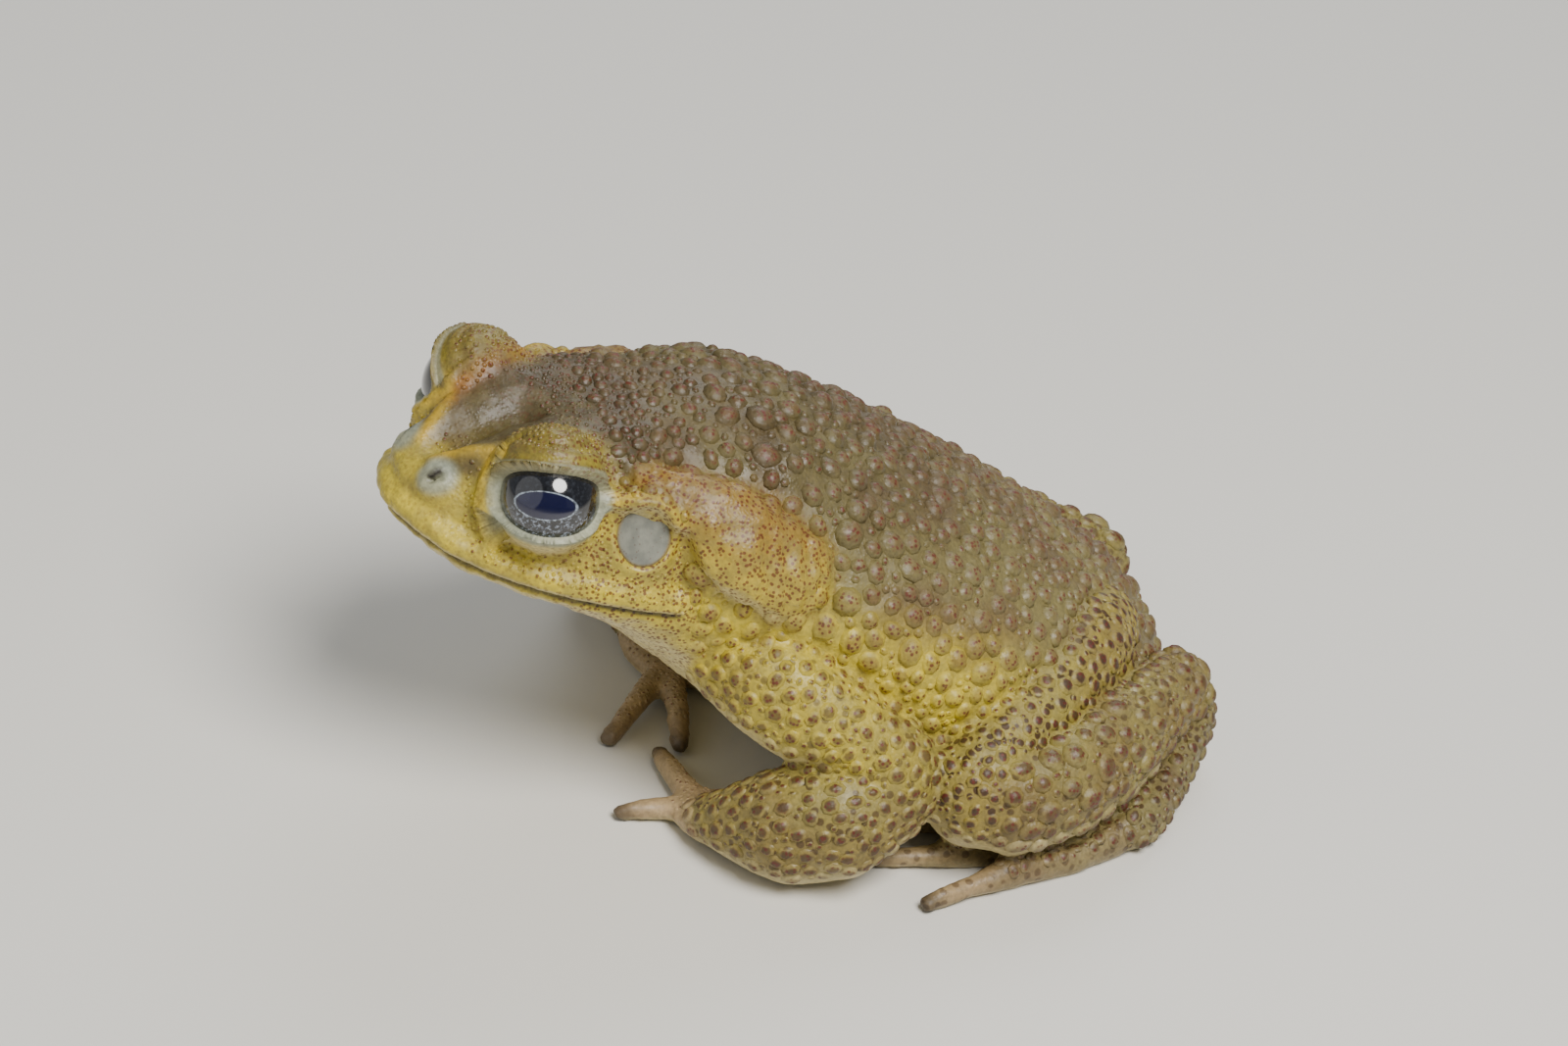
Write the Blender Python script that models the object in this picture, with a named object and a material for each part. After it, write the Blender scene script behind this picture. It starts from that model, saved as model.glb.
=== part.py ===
"""A cane toad sitting on its rump with its fore body raised, life size, as a still model.

The toad looks along -Y, its left side is +X and it sits on the floor z = 0. All lengths below are in
millimetres and are turned into metres when a surface is made. The body is cut into anatomical parts that
meet face to face with a fine, even gap. Every part is one closed surface.
"""

import math
import random

import bmesh
import bpy
from mathutils import Matrix, Vector
from mathutils.bvhtree import BVHTree

# Sizes of the animal
MM = 0.001
GAP = 0.3
EYE_RADIUS = 6.8
EYE_CENTRE = Vector((14.7, -44.5, 54.9))
EYE_AXIS = Vector((0.82, -0.38, 0.42)).normalized()
LID_SIZE = Vector((7.7, 8.1, 8.2))
LID_CENTRE = Vector((14.2, -44.7, 56.6))
EYE_OPENING_WIDTH = 13.8
EYE_OPENING_HEIGHT = 9.2
EYE_OPENING_LIFT = -0.3
EYE_OPENING_OUT = 7.6
EYE_OPENING_DEPTH = 14.0
LID_RIM_RADIUS = 0.9
LID_RIM_OUTSIDE = 0.3
LID_THICKNESS = 1.0
EARDRUM_CENTRE = Vector((20.5, -32.5, 50.6))
EARDRUM_WIDTH = 7.6
EARDRUM_HEIGHT = 9.0
EARDRUM_DEPTH = 2.2
EARDRUM_PROUD = 0.5
NOSTRIL_CENTRE = Vector((5.4, -57.2, 53.0))
NOSTRIL_SIZE = Vector((2.0, 2.4, 2.0))
NOSTRIL_SLIT_AT = Vector((1.9, -1.2, 0.6))
NOSTRIL_SLIT_SIZE = Vector((0.75, 1.1, 1.9))
NOSTRIL_SLIT_AXIS = Vector((0.7, -0.5, 0.5))
WEB_THICKNESS = 1.3
WEB_INSET = 0.35
WEB_HOLLOW = 0.3
WEB_REACH = 0.55
WEB_STEPS = 5

# Fineness of the surfaces
SIDES_PER_SPAN = 3
HEAD_SPACING = 3.4
TORSO_SPACING = 5.0
LIMB_SIDES = 12
RIM_STEPS = 14
DIGIT_SIDES = 6

# Move that puts the middle of the toad's box over the origin
SHIFT = Vector((0.0, -5.825, 0.0))

# Colours (linear) and roughness
OLIVE_BROWN = (0.105, 0.082, 0.030)
HEAD_OLIVE = (0.165, 0.120, 0.030)
JAW_YELLOW = (0.420, 0.330, 0.050)
GLAND_OCHRE = (0.230, 0.150, 0.036)
LIMB_OLIVE = (0.200, 0.180, 0.052)
SHANK_OLIVE = (0.150, 0.130, 0.045)
DIGIT_TAN = (0.330, 0.260, 0.140)
DRUM_GREY = (0.175, 0.165, 0.120)
EYE_BLACK = (0.006, 0.008, 0.020)
WET_SKIN = 0.42
MATT_SKIN = 0.5
EYE_GLOSS = 0.06

FINISHES = {
    "head": (HEAD_OLIVE, WET_SKIN),
    "lower_jaw": (JAW_YELLOW, WET_SKIN),
    "torso": (OLIVE_BROWN, MATT_SKIN),
    "eye": (EYE_BLACK, EYE_GLOSS),
    "eardrum": (DRUM_GREY, MATT_SKIN),
    "parotoid": (GLAND_OCHRE, WET_SKIN),
    "upper_arm": (LIMB_OLIVE, MATT_SKIN),
    "forearm": (LIMB_OLIVE, MATT_SKIN),
    "hand": (DIGIT_TAN, MATT_SKIN),
    "thigh": (LIMB_OLIVE, MATT_SKIN),
    "shank": (SHANK_OLIVE, MATT_SKIN),
    "ankle": (SHANK_OLIVE, MATT_SKIN),
    "foot": (DIGIT_TAN, MATT_SKIN),
}

# Trunk sections from snout to rump: y, height of the middle of the top, then x and height of the crown
# edge, of the cheek or shoulder, of the widest level and of the lower corner, and the height below
TRUNK = (
    (-61.6, 50.2, 2.0, 49.9, 2.8, 48.9, 3.2, 47.4, 2.4, 46.5, 46.1),
    (-60.0, 52.4, 3.2, 51.9, 4.8, 50.0, 6.4, 47.2, 5.2, 45.6, 45.0),
    (-57.0, 55.2, 4.4, 55.4, 7.8, 51.6, 11.2, 46.0, 9.2, 43.8, 42.6),
    (-51.0, 57.4, 5.8, 58.1, 11.2, 52.4, 15.5, 44.0, 12.8, 41.2, 39.0),
    (-45.0, 59.2, 7.4, 60.6, 14.6, 52.2, 18.7, 42.4, 15.2, 39.4, 36.0),
    (-39.0, 60.0, 9.0, 61.4, 17.4, 52.4, 21.1, 41.2, 17.0, 37.2, 32.6),
    (-32.0, 60.8, 11.0, 60.4, 19.8, 52.0, 22.8, 40.0, 18.2, 33.6, 28.0),
    (-25.0, 61.4, 12.2, 58.8, 21.6, 50.4, 24.0, 38.2, 18.8, 28.0, 22.6),
    (-18.0, 61.6, 13.2, 58.4, 23.4, 48.8, 26.0, 36.0, 20.2, 22.0, 17.2),
    (-10.0, 60.4, 14.8, 56.6, 25.6, 45.8, 29.0, 32.4, 23.4, 16.0, 12.0),
    (0.0, 56.6, 16.8, 52.2, 28.4, 41.2, 32.6, 27.6, 26.6, 10.8, 6.4),
    (10.0, 51.2, 18.0, 47.0, 30.6, 36.6, 35.2, 23.6, 29.0, 6.6, 1.8),
    (20.0, 45.2, 18.6, 41.4, 31.4, 32.0, 36.0, 19.6, 29.8, 3.8, -0.6),
    (30.0, 39.0, 18.0, 35.8, 30.2, 27.8, 34.6, 16.8, 28.8, 2.6, -1.0),
    (40.0, 32.8, 16.4, 30.2, 27.4, 24.0, 31.6, 14.8, 26.0, 2.4, -1.0),
    (50.0, 26.2, 13.4, 24.0, 21.8, 19.6, 25.2, 13.0, 20.8, 2.8, -0.4),
    (57.0, 20.4, 9.8, 18.8, 15.6, 15.8, 17.8, 11.2, 14.8, 4.0, 1.4),
    (62.0, 15.0, 5.8, 14.2, 9.4, 12.6, 10.8, 9.8, 8.8, 5.8, 4.2),
)
SNOUT_TIP = Vector((0.0, -62.1, 48.0))
RUMP_TIP = Vector((0.0, 64.4, 9.4))

# Raised forms of the left side of the head: x, y, z, radius
RIDGE_BEFORE_EYE = (
    (9.6, -51.4, 56.6, 1.3),
    (11.8, -53.0, 53.6, 1.5),
    (14.4, -52.0, 48.8, 1.5),
)
RIDGE_OVER_DRUM = (
    (18.2, -38.0, 55.6, 1.5),
    (19.4, -33.2, 55.6, 1.7),
    (21.4, -28.6, 53.6, 1.5),
)
UPPER_LIP = (
    (0.0, -61.0, 48.7, 1.5),
    (6.2, -59.1, 47.9, 1.7),
    (10.8, -56.2, 46.8, 1.8),
    (14.8, -50.4, 44.8, 1.8),
    (18.6, -42.2, 42.8, 1.8),
    (21.2, -33.4, 41.2, 1.6),
    (22.4, -27.6, 39.8, 1.4),
)

# Shoulder gland of the left side: x, y, z, radius across, radius thick
GLAND = (
    (16.4, -30.8, 56.8, 2.6, 2.2),
    (19.4, -24.6, 53.6, 5.2, 3.6),
    (22.6, -18.4, 48.8, 7.8, 4.6),
    (25.0, -10.6, 43.6, 7.0, 4.4),
)
GLAND_OUTWARD = Vector((0.82, 0.0, 0.57))
RIGHT_GLAND_SINK = 1.7

# Line of the mouth: y and height, from the snout back to the neck
MOUTH_LINE = (
    (-75.0, 48.4),
    (-62.0, 47.1),
    (-57.6, 45.4),
    (-53.6, 44.0),
    (-49.0, 42.7),
    (-41.0, 40.9),
    (-32.0, 39.3),
    (-18.0, 36.8),
)
NECK_POINT = Vector((0.0, -24.5, 40.0))
NECK_NORMAL = Vector((0.0, 1.0, 0.16)).normalized()

# Large warts: how many, their radius, how far apart, and the line inside the body that they face away from
WART_SEED = 11
BACK_WARTS = 64
LIMB_WARTS = 6
LIMB_WART_TRIES = 400
WART_RADIUS = (1.3, 2.0)
WART_HEIGHT = 0.62
WART_SINK = 0.25
WART_CLEAR = 0.8
BACK_WART_SPACING = 6.4
LIMB_WART_SPACING = 4.6
AXIS_FRONT = Vector((0.0, -20.0, 37.0))
AXIS_BACK = Vector((0.0, 60.0, 10.0))
TURN_LENGTH = 30.0
BACK_WARTS_ALONG = (-16.0, 58.0)
BACK_WART_ANGLES = (-10.0, 190.0)
LIMB_WARTS_ALONG = (0.1, 1.0)
LIMB_WART_ANGLES = (-25.0, 100.0)
LIMB_WART_SLANT = 0.3

# Blocks that cut: half size of a half space, and reach of the mouth's and the floor's blocks
BLOCK_REACH = 100.0
MOUTH_BLOCK_SIDE = 60.0
MOUTH_BLOCK_TOP = 140.0
MOUTH_BLOCK_BOTTOM = -40.0
FLOOR_REACH = 150.0
FLOOR_DEPTH = 40.0

# Shape of rounded limb ends, of the lids' rolled edge, and the most that a grown copy moves a corner
CAP_ANGLES = (62, 30)
RIM_SIDES = 6
LID_FLATNESS = 0.8
GROWTH_LIMIT = 1.6

# Fore limb of the left side: x, y, z, radius across, radius thick
LEFT_UPPER_ARM = (
    (17.0, -15.0, 30.0, 9.0, 9.5),
    (26.0, -11.5, 27.0, 8.6, 8.8),
    (32.5, -4.0, 21.5, 7.8, 8.0),
    (35.8, 2.6, 16.6, 7.6, 7.8),
)
LEFT_FOREARM = (
    (36.6, 3.0, 14.2, 7.4, 8.2),
    (37.2, -5.0, 10.6, 8.8, 10.0),
    (34.6, -12.4, 8.0, 7.6, 8.6),
    (28.6, -17.4, 5.4, 4.6, 4.8),
    (25.6, -17.9, 4.2, 3.8, 3.6),
)
LEFT_PALM = (
    (26.4, -18.0, 3.6, 4.0, 3.0),
    (22.8, -17.6, 2.6, 5.0, 2.5),
    (19.6, -17.2, 2.0, 4.8, 2.0),
)
# Fore limb of the right side, with the hand set further back
RIGHT_UPPER_ARM = (
    (-17.0, -15.0, 30.0, 9.0, 9.5),
    (-26.0, -10.0, 27.0, 8.6, 8.8),
    (-33.0, -1.5, 21.5, 7.8, 8.0),
    (-37.0, 6.0, 16.6, 7.6, 7.8),
)
RIGHT_FOREARM = (
    (-37.8, 7.0, 14.2, 7.4, 8.2),
    (-37.6, -0.5, 10.6, 8.8, 10.0),
    (-33.4, -6.4, 8.0, 7.6, 8.6),
    (-25.4, -8.6, 5.4, 4.6, 4.8),
    (-21.6, -8.6, 4.2, 3.8, 3.6),
)
RIGHT_PALM = (
    (-22.0, -8.6, 3.6, 4.0, 3.0),
    (-17.8, -8.4, 2.8, 5.0, 2.5),
    (-14.0, -8.0, 2.3, 4.8, 2.0),
)

# Hind limb of the left side
LEFT_THIGH = (
    (11.0, 46.5, 14.5, 10.5, 10.5),
    (19.5, 39.0, 18.2, 11.0, 11.0),
    (30.0, 27.0, 17.0, 9.8, 10.4),
    (39.2, 15.8, 12.6, 8.6, 9.3),
)
LEFT_SHANK = (
    (42.6, 20.0, 11.8, 6.4, 8.2),
    (40.0, 28.0, 12.2, 8.0, 9.2),
    (33.4, 39.6, 12.2, 8.2, 9.2),
    (26.8, 50.4, 11.8, 6.8, 8.0),
    (22.0, 58.4, 10.8, 5.8, 6.8),
)
LEFT_ANKLE = (
    (22.8, 60.0, 7.2, 4.6, 5.4),
    (29.6, 53.6, 4.2, 4.4, 4.2),
    (36.6, 46.2, 3.2, 4.6, 3.4),
    (40.0, 41.0, 2.8, 5.0, 3.0),
)

# Hind limb of the right side, with the heel lower and further back
RIGHT_THIGH = (
    (-11.0, 46.5, 14.5, 10.5, 10.5),
    (-18.5, 40.5, 17.0, 10.6, 10.6),
    (-28.0, 32.0, 15.4, 9.6, 10.0),
    (-36.0, 23.0, 12.0, 8.6, 9.2),
)
RIGHT_SHANK = (
    (-38.4, 27.5, 10.8, 6.4, 7.8),
    (-35.4, 36.0, 10.6, 7.6, 8.4),
    (-28.6, 48.5, 9.6, 7.6, 8.2),
    (-22.4, 60.0, 8.2, 6.4, 7.0),
    (-18.2, 67.6, 6.8, 5.4, 5.8),
)
RIGHT_ANKLE = (
    (-20.6, 69.8, 4.6, 4.4, 4.4),
    (-29.4, 64.4, 3.8, 4.4, 3.8),
    (-37.0, 57.0, 3.2, 4.6, 3.4),
    (-40.4, 51.6, 2.8, 5.0, 3.0),
)
RIGHT_FOOT_BACK = 10.6

# Fingers of each hand and toes of each foot, from the base to the tip: x, y, z, radius
LEFT_FINGERS = (
    ((20.4, -18.6, 2.0, 2.0), (18.6, -23.4, 1.7, 1.7), (17.6, -28.6, 1.2, 1.5)),
    ((20.0, -17.4, 2.0, 2.1), (12.0, -18.0, 2.4, 1.8), (5.6, -17.2, 1.2, 1.4)),
    ((20.4, -15.4, 1.9, 2.0), (18.4, -9.8, 1.9, 1.7), (17.2, -4.0, 1.2, 1.4)),
    ((22.4, -14.8, 1.9, 2.0), (22.8, -9.6, 1.8, 1.7), (23.4, -5.4, 1.2, 1.4)),
)
RIGHT_FINGERS = (
    ((-11.6, -9.6, 2.4, 2.0), (-4.4, -16.6, 3.2, 1.8), (0.8, -23.2, 1.2, 1.5)),
    ((-10.6, -8.4, 2.4, 2.1), (-1.6, -11.4, 3.4, 1.8), (5.0, -13.6, 1.4, 1.5)),
    ((-11.6, -6.4, 2.2, 2.0), (-5.6, -2.6, 2.4, 1.7), (-0.6, -0.8, 1.2, 1.4)),
    ((-13.4, -5.4, 2.2, 2.0), (-12.0, -0.6, 2.2, 1.7), (-10.6, 3.6, 1.2, 1.4)),
)
LEFT_TOES = (
    ((41.6, 40.4, 2.4, 2.4), (44.6, 30.0, 1.8, 1.7), (45.4, 21.0, 2.0, 1.6), (48.2, 5.4, 1.2, 1.5)),
    ((39.6, 38.6, 2.6, 2.5), (40.2, 26.0, 1.9, 1.8), (39.4, 13.0, 1.9, 1.7), (36.8, 2.4, 1.2, 1.4)),
    ((37.6, 38.2, 2.6, 2.3), (35.0, 27.0, 1.8, 1.7), (32.6, 17.0, 1.6, 1.6), (29.6, 8.0, 1.2, 1.4)),
    ((35.6, 39.6, 2.4, 2.1), (31.0, 31.0, 1.6, 1.6), (26.6, 23.6, 1.2, 1.4)),
    ((34.4, 42.0, 2.2, 1.9), (29.6, 36.6, 1.6, 1.5), (25.4, 32.6, 1.2, 1.3)),
)


def clear_scene():
    """Remove every object of the starting scene."""
    for thing in list(bpy.data.objects):
        bpy.data.objects.remove(thing, do_unlink=True)


def sided(rows, side):
    """Rows with their x turned to a side of the body."""
    return [(row[0] * side,) + tuple(row[1:]) for row in rows]


def curve_between(before, start, end, after, t):
    """A value on the smooth curve between `start` and `end`, at share `t` of the way."""
    return 0.5 * (2 * start + (end - before) * t + (2 * before - 5 * start + 4 * end - after) * t * t
                  + (3 * start - before - 3 * end + after) * t ** 3)


def smooth_rows(rows, spacing):
    """Rows of numbers joined by smooth curves, with a row about every `spacing` along the first three."""
    out = []
    for i in range(len(rows) - 1):
        before = rows[max(i - 1, 0)]
        start = rows[i]
        end = rows[i + 1]
        after = rows[min(i + 2, len(rows) - 1)]
        length = math.dist(start[:3], end[:3])
        steps = max(1, round(length / spacing))
        for k in range(steps):
            t = k / steps
            out.append(tuple(curve_between(a, b, c, d, t) for a, b, c, d in zip(before, start, end, after)))
    out.append(tuple(rows[-1]))
    return out


def mesh_object(name, points, faces):
    """An object with the given points, in millimetres, and faces turned outward."""
    mesh = bpy.data.meshes.new(name)
    mesh.from_pydata([tuple(Vector(p) * MM) for p in points], [], faces)
    body = bmesh.new()
    body.from_mesh(mesh)
    bmesh.ops.recalc_face_normals(body, faces=body.faces)
    body.to_mesh(mesh)
    body.free()
    thing = bpy.data.objects.new(name, mesh)
    bpy.context.scene.collection.objects.link(thing)
    return thing


def skin_rings(name, rings, first_tip, last_tip):
    """A closed surface through rings of points, with a point at each end."""
    count = len(rings[0])
    points = [p for ring in rings for p in ring]
    faces = []
    for r in range(len(rings) - 1):
        for k in range(count):
            n = (k + 1) % count
            faces.append((r * count + k, r * count + n, (r + 1) * count + n, (r + 1) * count + k))
    first = len(points)
    points.append(first_tip)
    last = len(points)
    points.append(last_tip)
    end = (len(rings) - 1) * count
    for k in range(count):
        n = (k + 1) % count
        faces.append((first, n, k))
        faces.append((last, end + k, end + n))
    return mesh_object(name, points, faces)


def limb(name, rows, up=(0.0, 0.0, 1.0), sides=LIMB_SIDES, spacing=6.0, cap=0.9):
    """A rounded limb through rows of x, y, z, radius across and radius thick along `up`."""
    rows = smooth_rows([tuple(r) if len(r) == 5 else tuple(r) + (r[3],) for r in rows], spacing)
    centres = [Vector(r[:3]) for r in rows]
    up = Vector(up)
    rings = []
    tips = []
    for end in (0, len(rows) - 1):
        inner = centres[1] if end == 0 else centres[-2]
        outward = (centres[end] - inner).normalized()
        tips.append(centres[end] + outward * cap * 0.5 * (rows[end][3] + rows[end][4]))

    def ring(centre, direction, across, thick):
        side = direction.cross(up).normalized()
        lift = side.cross(direction).normalized()
        return [centre + side * across * math.cos(a) + lift * thick * math.sin(a)
                for a in (2 * math.pi * k / sides for k in range(sides))]

    cap_angles = [math.radians(angle) for angle in CAP_ANGLES]
    for angle in cap_angles:
        outward = tips[0] - centres[0]
        rings.append(ring(centres[0] + outward * math.sin(angle), -outward.normalized(),
                          rows[0][3] * math.cos(angle), rows[0][4] * math.cos(angle)))
    for i, row in enumerate(rows):
        back = centres[max(i - 1, 0)]
        ahead = centres[min(i + 1, len(rows) - 1)]
        rings.append(ring(centres[i], (ahead - back).normalized(), row[3], row[4]))
    for angle in reversed(cap_angles):
        outward = tips[1] - centres[-1]
        rings.append(ring(centres[-1] + outward * math.sin(angle), outward.normalized(),
                          rows[-1][3] * math.cos(angle), rows[-1][4] * math.cos(angle)))
    return skin_rings(name, rings, tips[0], tips[1])


def ball(name, centre, radii, rings=9, sides=16, axis=None):
    """An ellipsoid; `axis` turns its own Z to that direction."""
    turn = Vector((0, 0, 1)).rotation_difference(Vector(axis)) if axis is not None else None

    def place(x, y, z):
        p = Vector((x * radii[0], y * radii[1], z * radii[2]))
        if turn is not None:
            p = turn @ p
        return Vector(centre) + p

    loops = []
    for r in range(1, rings + 1):
        polar = math.pi * r / (rings + 1)
        loops.append([place(math.sin(polar) * math.cos(2 * math.pi * k / sides),
                            math.sin(polar) * math.sin(2 * math.pi * k / sides),
                            math.cos(polar)) for k in range(sides)])
    return skin_rings(name, loops, place(0, 0, 1), place(0, 0, -1))


def box(name, low, high):
    """A rectangular block between two corners."""
    x0, y0, z0 = low
    x1, y1, z1 = high
    points = [(x, y, z) for z in (z0, z1) for y in (y0, y1) for x in (x0, x1)]
    faces = [(0, 1, 3, 2), (4, 6, 7, 5), (0, 4, 5, 1), (2, 3, 7, 6), (0, 2, 6, 4), (1, 5, 7, 3)]
    return mesh_object(name, points, faces)


def drop(thing):
    """Remove an object and its surface."""
    mesh = thing.data
    bpy.data.objects.remove(thing, do_unlink=True)
    bpy.data.meshes.remove(mesh)


def copy_of(thing, name):
    """A separate copy of an object's surface."""
    twin = bpy.data.objects.new(name, thing.data.copy())
    bpy.context.scene.collection.objects.link(twin)
    return twin


def keep_largest(thing):
    """Keep only the closed surface of an object that encloses the most volume."""
    body = bmesh.new()
    body.from_mesh(thing.data)
    left = set(body.faces)
    shells = []
    while left:
        seed = left.pop()
        shell = [seed]
        stack = [seed]
        while stack:
            face = stack.pop()
            for edge in face.edges:
                for other in edge.link_faces:
                    if other in left:
                        left.remove(other)
                        shell.append(other)
                        stack.append(other)
        shells.append(shell)

    def extent(shell):
        total = 0.0
        for face in shell:
            corner = [loop.vert.co for loop in face.loops]
            for k in range(1, len(corner) - 1):
                total += corner[0].dot(corner[k].cross(corner[k + 1])) / 6
        return abs(total)

    shells.sort(key=extent, reverse=True)
    spare = [face for shell in shells[1:] for face in shell]
    if spare:
        bmesh.ops.delete(body, geom=spare, context="FACES")
        loose = [v for v in body.verts if not v.link_faces]
        bmesh.ops.delete(body, geom=loose, context="VERTS")
    body.to_mesh(thing.data)
    body.free()


def combine(thing, others, operation, solver="EXACT"):
    """Join to, or cut from, an object all the others, which are then removed."""
    group = bpy.data.collections.new("pieces")
    bpy.context.scene.collection.children.link(group)
    for other in others:
        group.objects.link(other)
    modifier = thing.modifiers.new("combine", "BOOLEAN")
    modifier.operation = operation
    modifier.operand_type = "COLLECTION"
    modifier.collection = group
    modifier.solver = solver
    graph = bpy.context.evaluated_depsgraph_get()
    result = bpy.data.meshes.new_from_object(thing.evaluated_get(graph))
    thing.modifiers.clear()
    spent = thing.data
    thing.data = result
    bpy.data.meshes.remove(spent)
    for other in others:
        drop(other)
    bpy.data.collections.remove(group)
    keep_largest(thing)


def grown(thing, by=GAP):
    """A copy of an object moved outward everywhere by the gap between parts."""
    twin = copy_of(thing, "grown")
    body = bmesh.new()
    body.from_mesh(twin.data)
    body.normal_update()
    moves = [(v, v.normal * min(v.calc_shell_factor(), GROWTH_LIMIT) * by * MM) for v in body.verts]
    for vertex, move in moves:
        vertex.co += move
    body.to_mesh(twin.data)
    body.free()
    return twin


def cut_by(thing, parts):
    """Cut an object by the grown copies of the parts it meets."""
    combine(thing, [grown(part) for part in parts], "DIFFERENCE")


def surface_of(thing):
    """An object's surface as a tree that finds places on it."""
    body = bmesh.new()
    body.from_mesh(thing.data)
    tree = BVHTree.FromBMesh(body)
    body.free()
    return tree


def near(tree, point):
    """The nearest place on a surface and the outward direction there, in millimetres."""
    place, normal, _, _ = tree.find_nearest(Vector(point) * MM)
    return place / MM, normal


def clear_of(place, trees, reach):
    """Whether a place is outside some surfaces, and further from them than a reach."""
    for tree in trees:
        nearest, normal = near(tree, place)
        away = place - nearest
        if away.length < reach or away.dot(normal) < 0:
            return False
    return True


def wart(place, outward, radius):
    """One low dome on a surface."""
    size = (radius, radius, radius * (WART_HEIGHT + WART_SINK))
    return ball("wart", place - outward * radius * WART_SINK, size, rings=3, sides=5, axis=outward)


def back_warts(trunk, others):
    """Large warts scattered over the back and flanks, clear of the limbs and the shoulder glands."""
    draw = random.Random(WART_SEED)
    tree = surface_of(trunk)
    taken = []
    warts = []
    while len(warts) < BACK_WARTS:
        y = draw.uniform(*BACK_WARTS_ALONG)
        angle = math.radians(draw.uniform(*BACK_WART_ANGLES))
        radius = draw.uniform(*WART_RADIUS)
        spot = Vector((y, angle * TURN_LENGTH))
        if any((spot - other).length < BACK_WART_SPACING for other in taken):
            continue
        taken.append(spot)
        start = AXIS_FRONT.lerp(AXIS_BACK, (y - AXIS_FRONT.y) / (AXIS_BACK.y - AXIS_FRONT.y))
        direction = Vector((math.cos(angle), 0.0, math.sin(angle)))
        place, normal, _, _ = tree.ray_cast(start * MM, direction)
        if clear_of(place / MM, others, radius + WART_CLEAR):
            warts.append(wart(place / MM, normal, radius))
    return warts


def limb_warts(thing, rows, side, others, seed):
    """Large warts on the upper and outer side of a limb."""
    draw = random.Random(seed)
    tree = surface_of(thing)
    radius = WART_RADIUS[0]
    taken = []
    for _ in range(LIMB_WART_TRIES):
        start = along(rows, draw.uniform(*LIMB_WARTS_ALONG))
        angle = math.radians(draw.uniform(*LIMB_WART_ANGLES))
        slant = draw.uniform(-LIMB_WART_SLANT, LIMB_WART_SLANT)
        direction = Vector((math.cos(angle) * side, slant, math.sin(angle))).normalized()
        place, normal, _, _ = tree.ray_cast(start * MM, direction)
        if place is None or len(taken) == LIMB_WARTS:
            continue
        spaced = all((place / MM - other).length > LIMB_WART_SPACING for other, _ in taken)
        if spaced and clear_of(place / MM, others, radius + WART_CLEAR):
            taken.append((place / MM, normal))
    return [wart(place, normal, radius) for place, normal in taken]


def trunk_ring(row):
    """One upright section of the head and torso, smooth through its named places."""
    y, top, *sides, bottom = row
    half = [(sides[k], sides[k + 1]) for k in range(0, len(sides), 2)]
    places = [(0.0, top)] + half + [(0.0, bottom)] + [(-x, z) for x, z in reversed(half)]
    count = len(places)
    ring = []
    for i in range(count):
        before, start, end, after = (places[(i + k) % count] for k in (-1, 0, 1, 2))
        for step in range(SIDES_PER_SPAN):
            t = step / SIDES_PER_SPAN
            x, z = (curve_between(a, b, c, d, t) for a, b, c, d in zip(before, start, end, after))
            ring.append(Vector((x, y, z)))
    return ring


def make_trunk():
    """Head and torso as one rounded body."""
    head_rows = smooth_rows([(0.0, r[0], 0.0) + r[1:] for r in TRUNK[:9]], HEAD_SPACING)
    torso_rows = smooth_rows([(0.0, r[0], 0.0) + r[1:] for r in TRUNK[8:]], TORSO_SPACING)
    rows = [(r[1],) + r[3:] for r in head_rows[:-1] + torso_rows]
    return skin_rings("torso", [trunk_ring(row) for row in rows], SNOUT_TIP, RUMP_TIP)


def ridge(name, places, sides=7, spacing=4.0):
    """A low ridge through places with a radius each."""
    return limb(name, places, sides=sides, spacing=spacing)


def on_both_sides(make):
    """Call a maker for the left side and for the mirrored right side."""
    return make(1.0) + make(-1.0)


def eyelid_rim(side):
    """The rolled edge of the lids, flat above and round below, as a closed ring on the eyeball."""
    right = Vector((-EYE_AXIS.y, EYE_AXIS.x, 0.0)).normalized()
    up = EYE_AXIS.cross(right).normalized()
    reach = EYE_RADIUS + LID_THICKNESS
    places = []
    for k in range(RIM_STEPS):
        a = 2 * math.pi * k / RIM_STEPS
        across = (EYE_OPENING_WIDTH / 2 + LID_RIM_OUTSIDE) * math.cos(a)
        height = (EYE_OPENING_HEIGHT / 2 + LID_RIM_OUTSIDE) * power(math.sin(a), LID_FLATNESS) + EYE_OPENING_LIFT
        depth = math.sqrt(max(reach ** 2 - across ** 2 - height ** 2, 0.0))
        places.append(EYE_CENTRE + right * across + up * height + EYE_AXIS * depth)
    points = []
    for k, place in enumerate(places):
        along = (places[(k + 1) % RIM_STEPS] - places[k - 1]).normalized()
        outward = (place - EYE_CENTRE).normalized()
        beside = along.cross(outward).normalized()
        for j in range(RIM_SIDES):
            a = 2 * math.pi * j / RIM_SIDES
            p = place + (outward * math.cos(a) + beside * math.sin(a)) * LID_RIM_RADIUS
            points.append((p.x * side, p.y, p.z))
    faces = []
    for k in range(RIM_STEPS):
        n = (k + 1) % RIM_STEPS
        for j in range(RIM_SIDES):
            m = (j + 1) % RIM_SIDES
            faces.append((k * RIM_SIDES + j, k * RIM_SIDES + m, n * RIM_SIDES + m, n * RIM_SIDES + j))
    return mesh_object("rim", points, faces)


def power(value, exponent):
    """A signed power of a number."""
    return math.copysign(abs(value) ** exponent, value)


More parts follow.
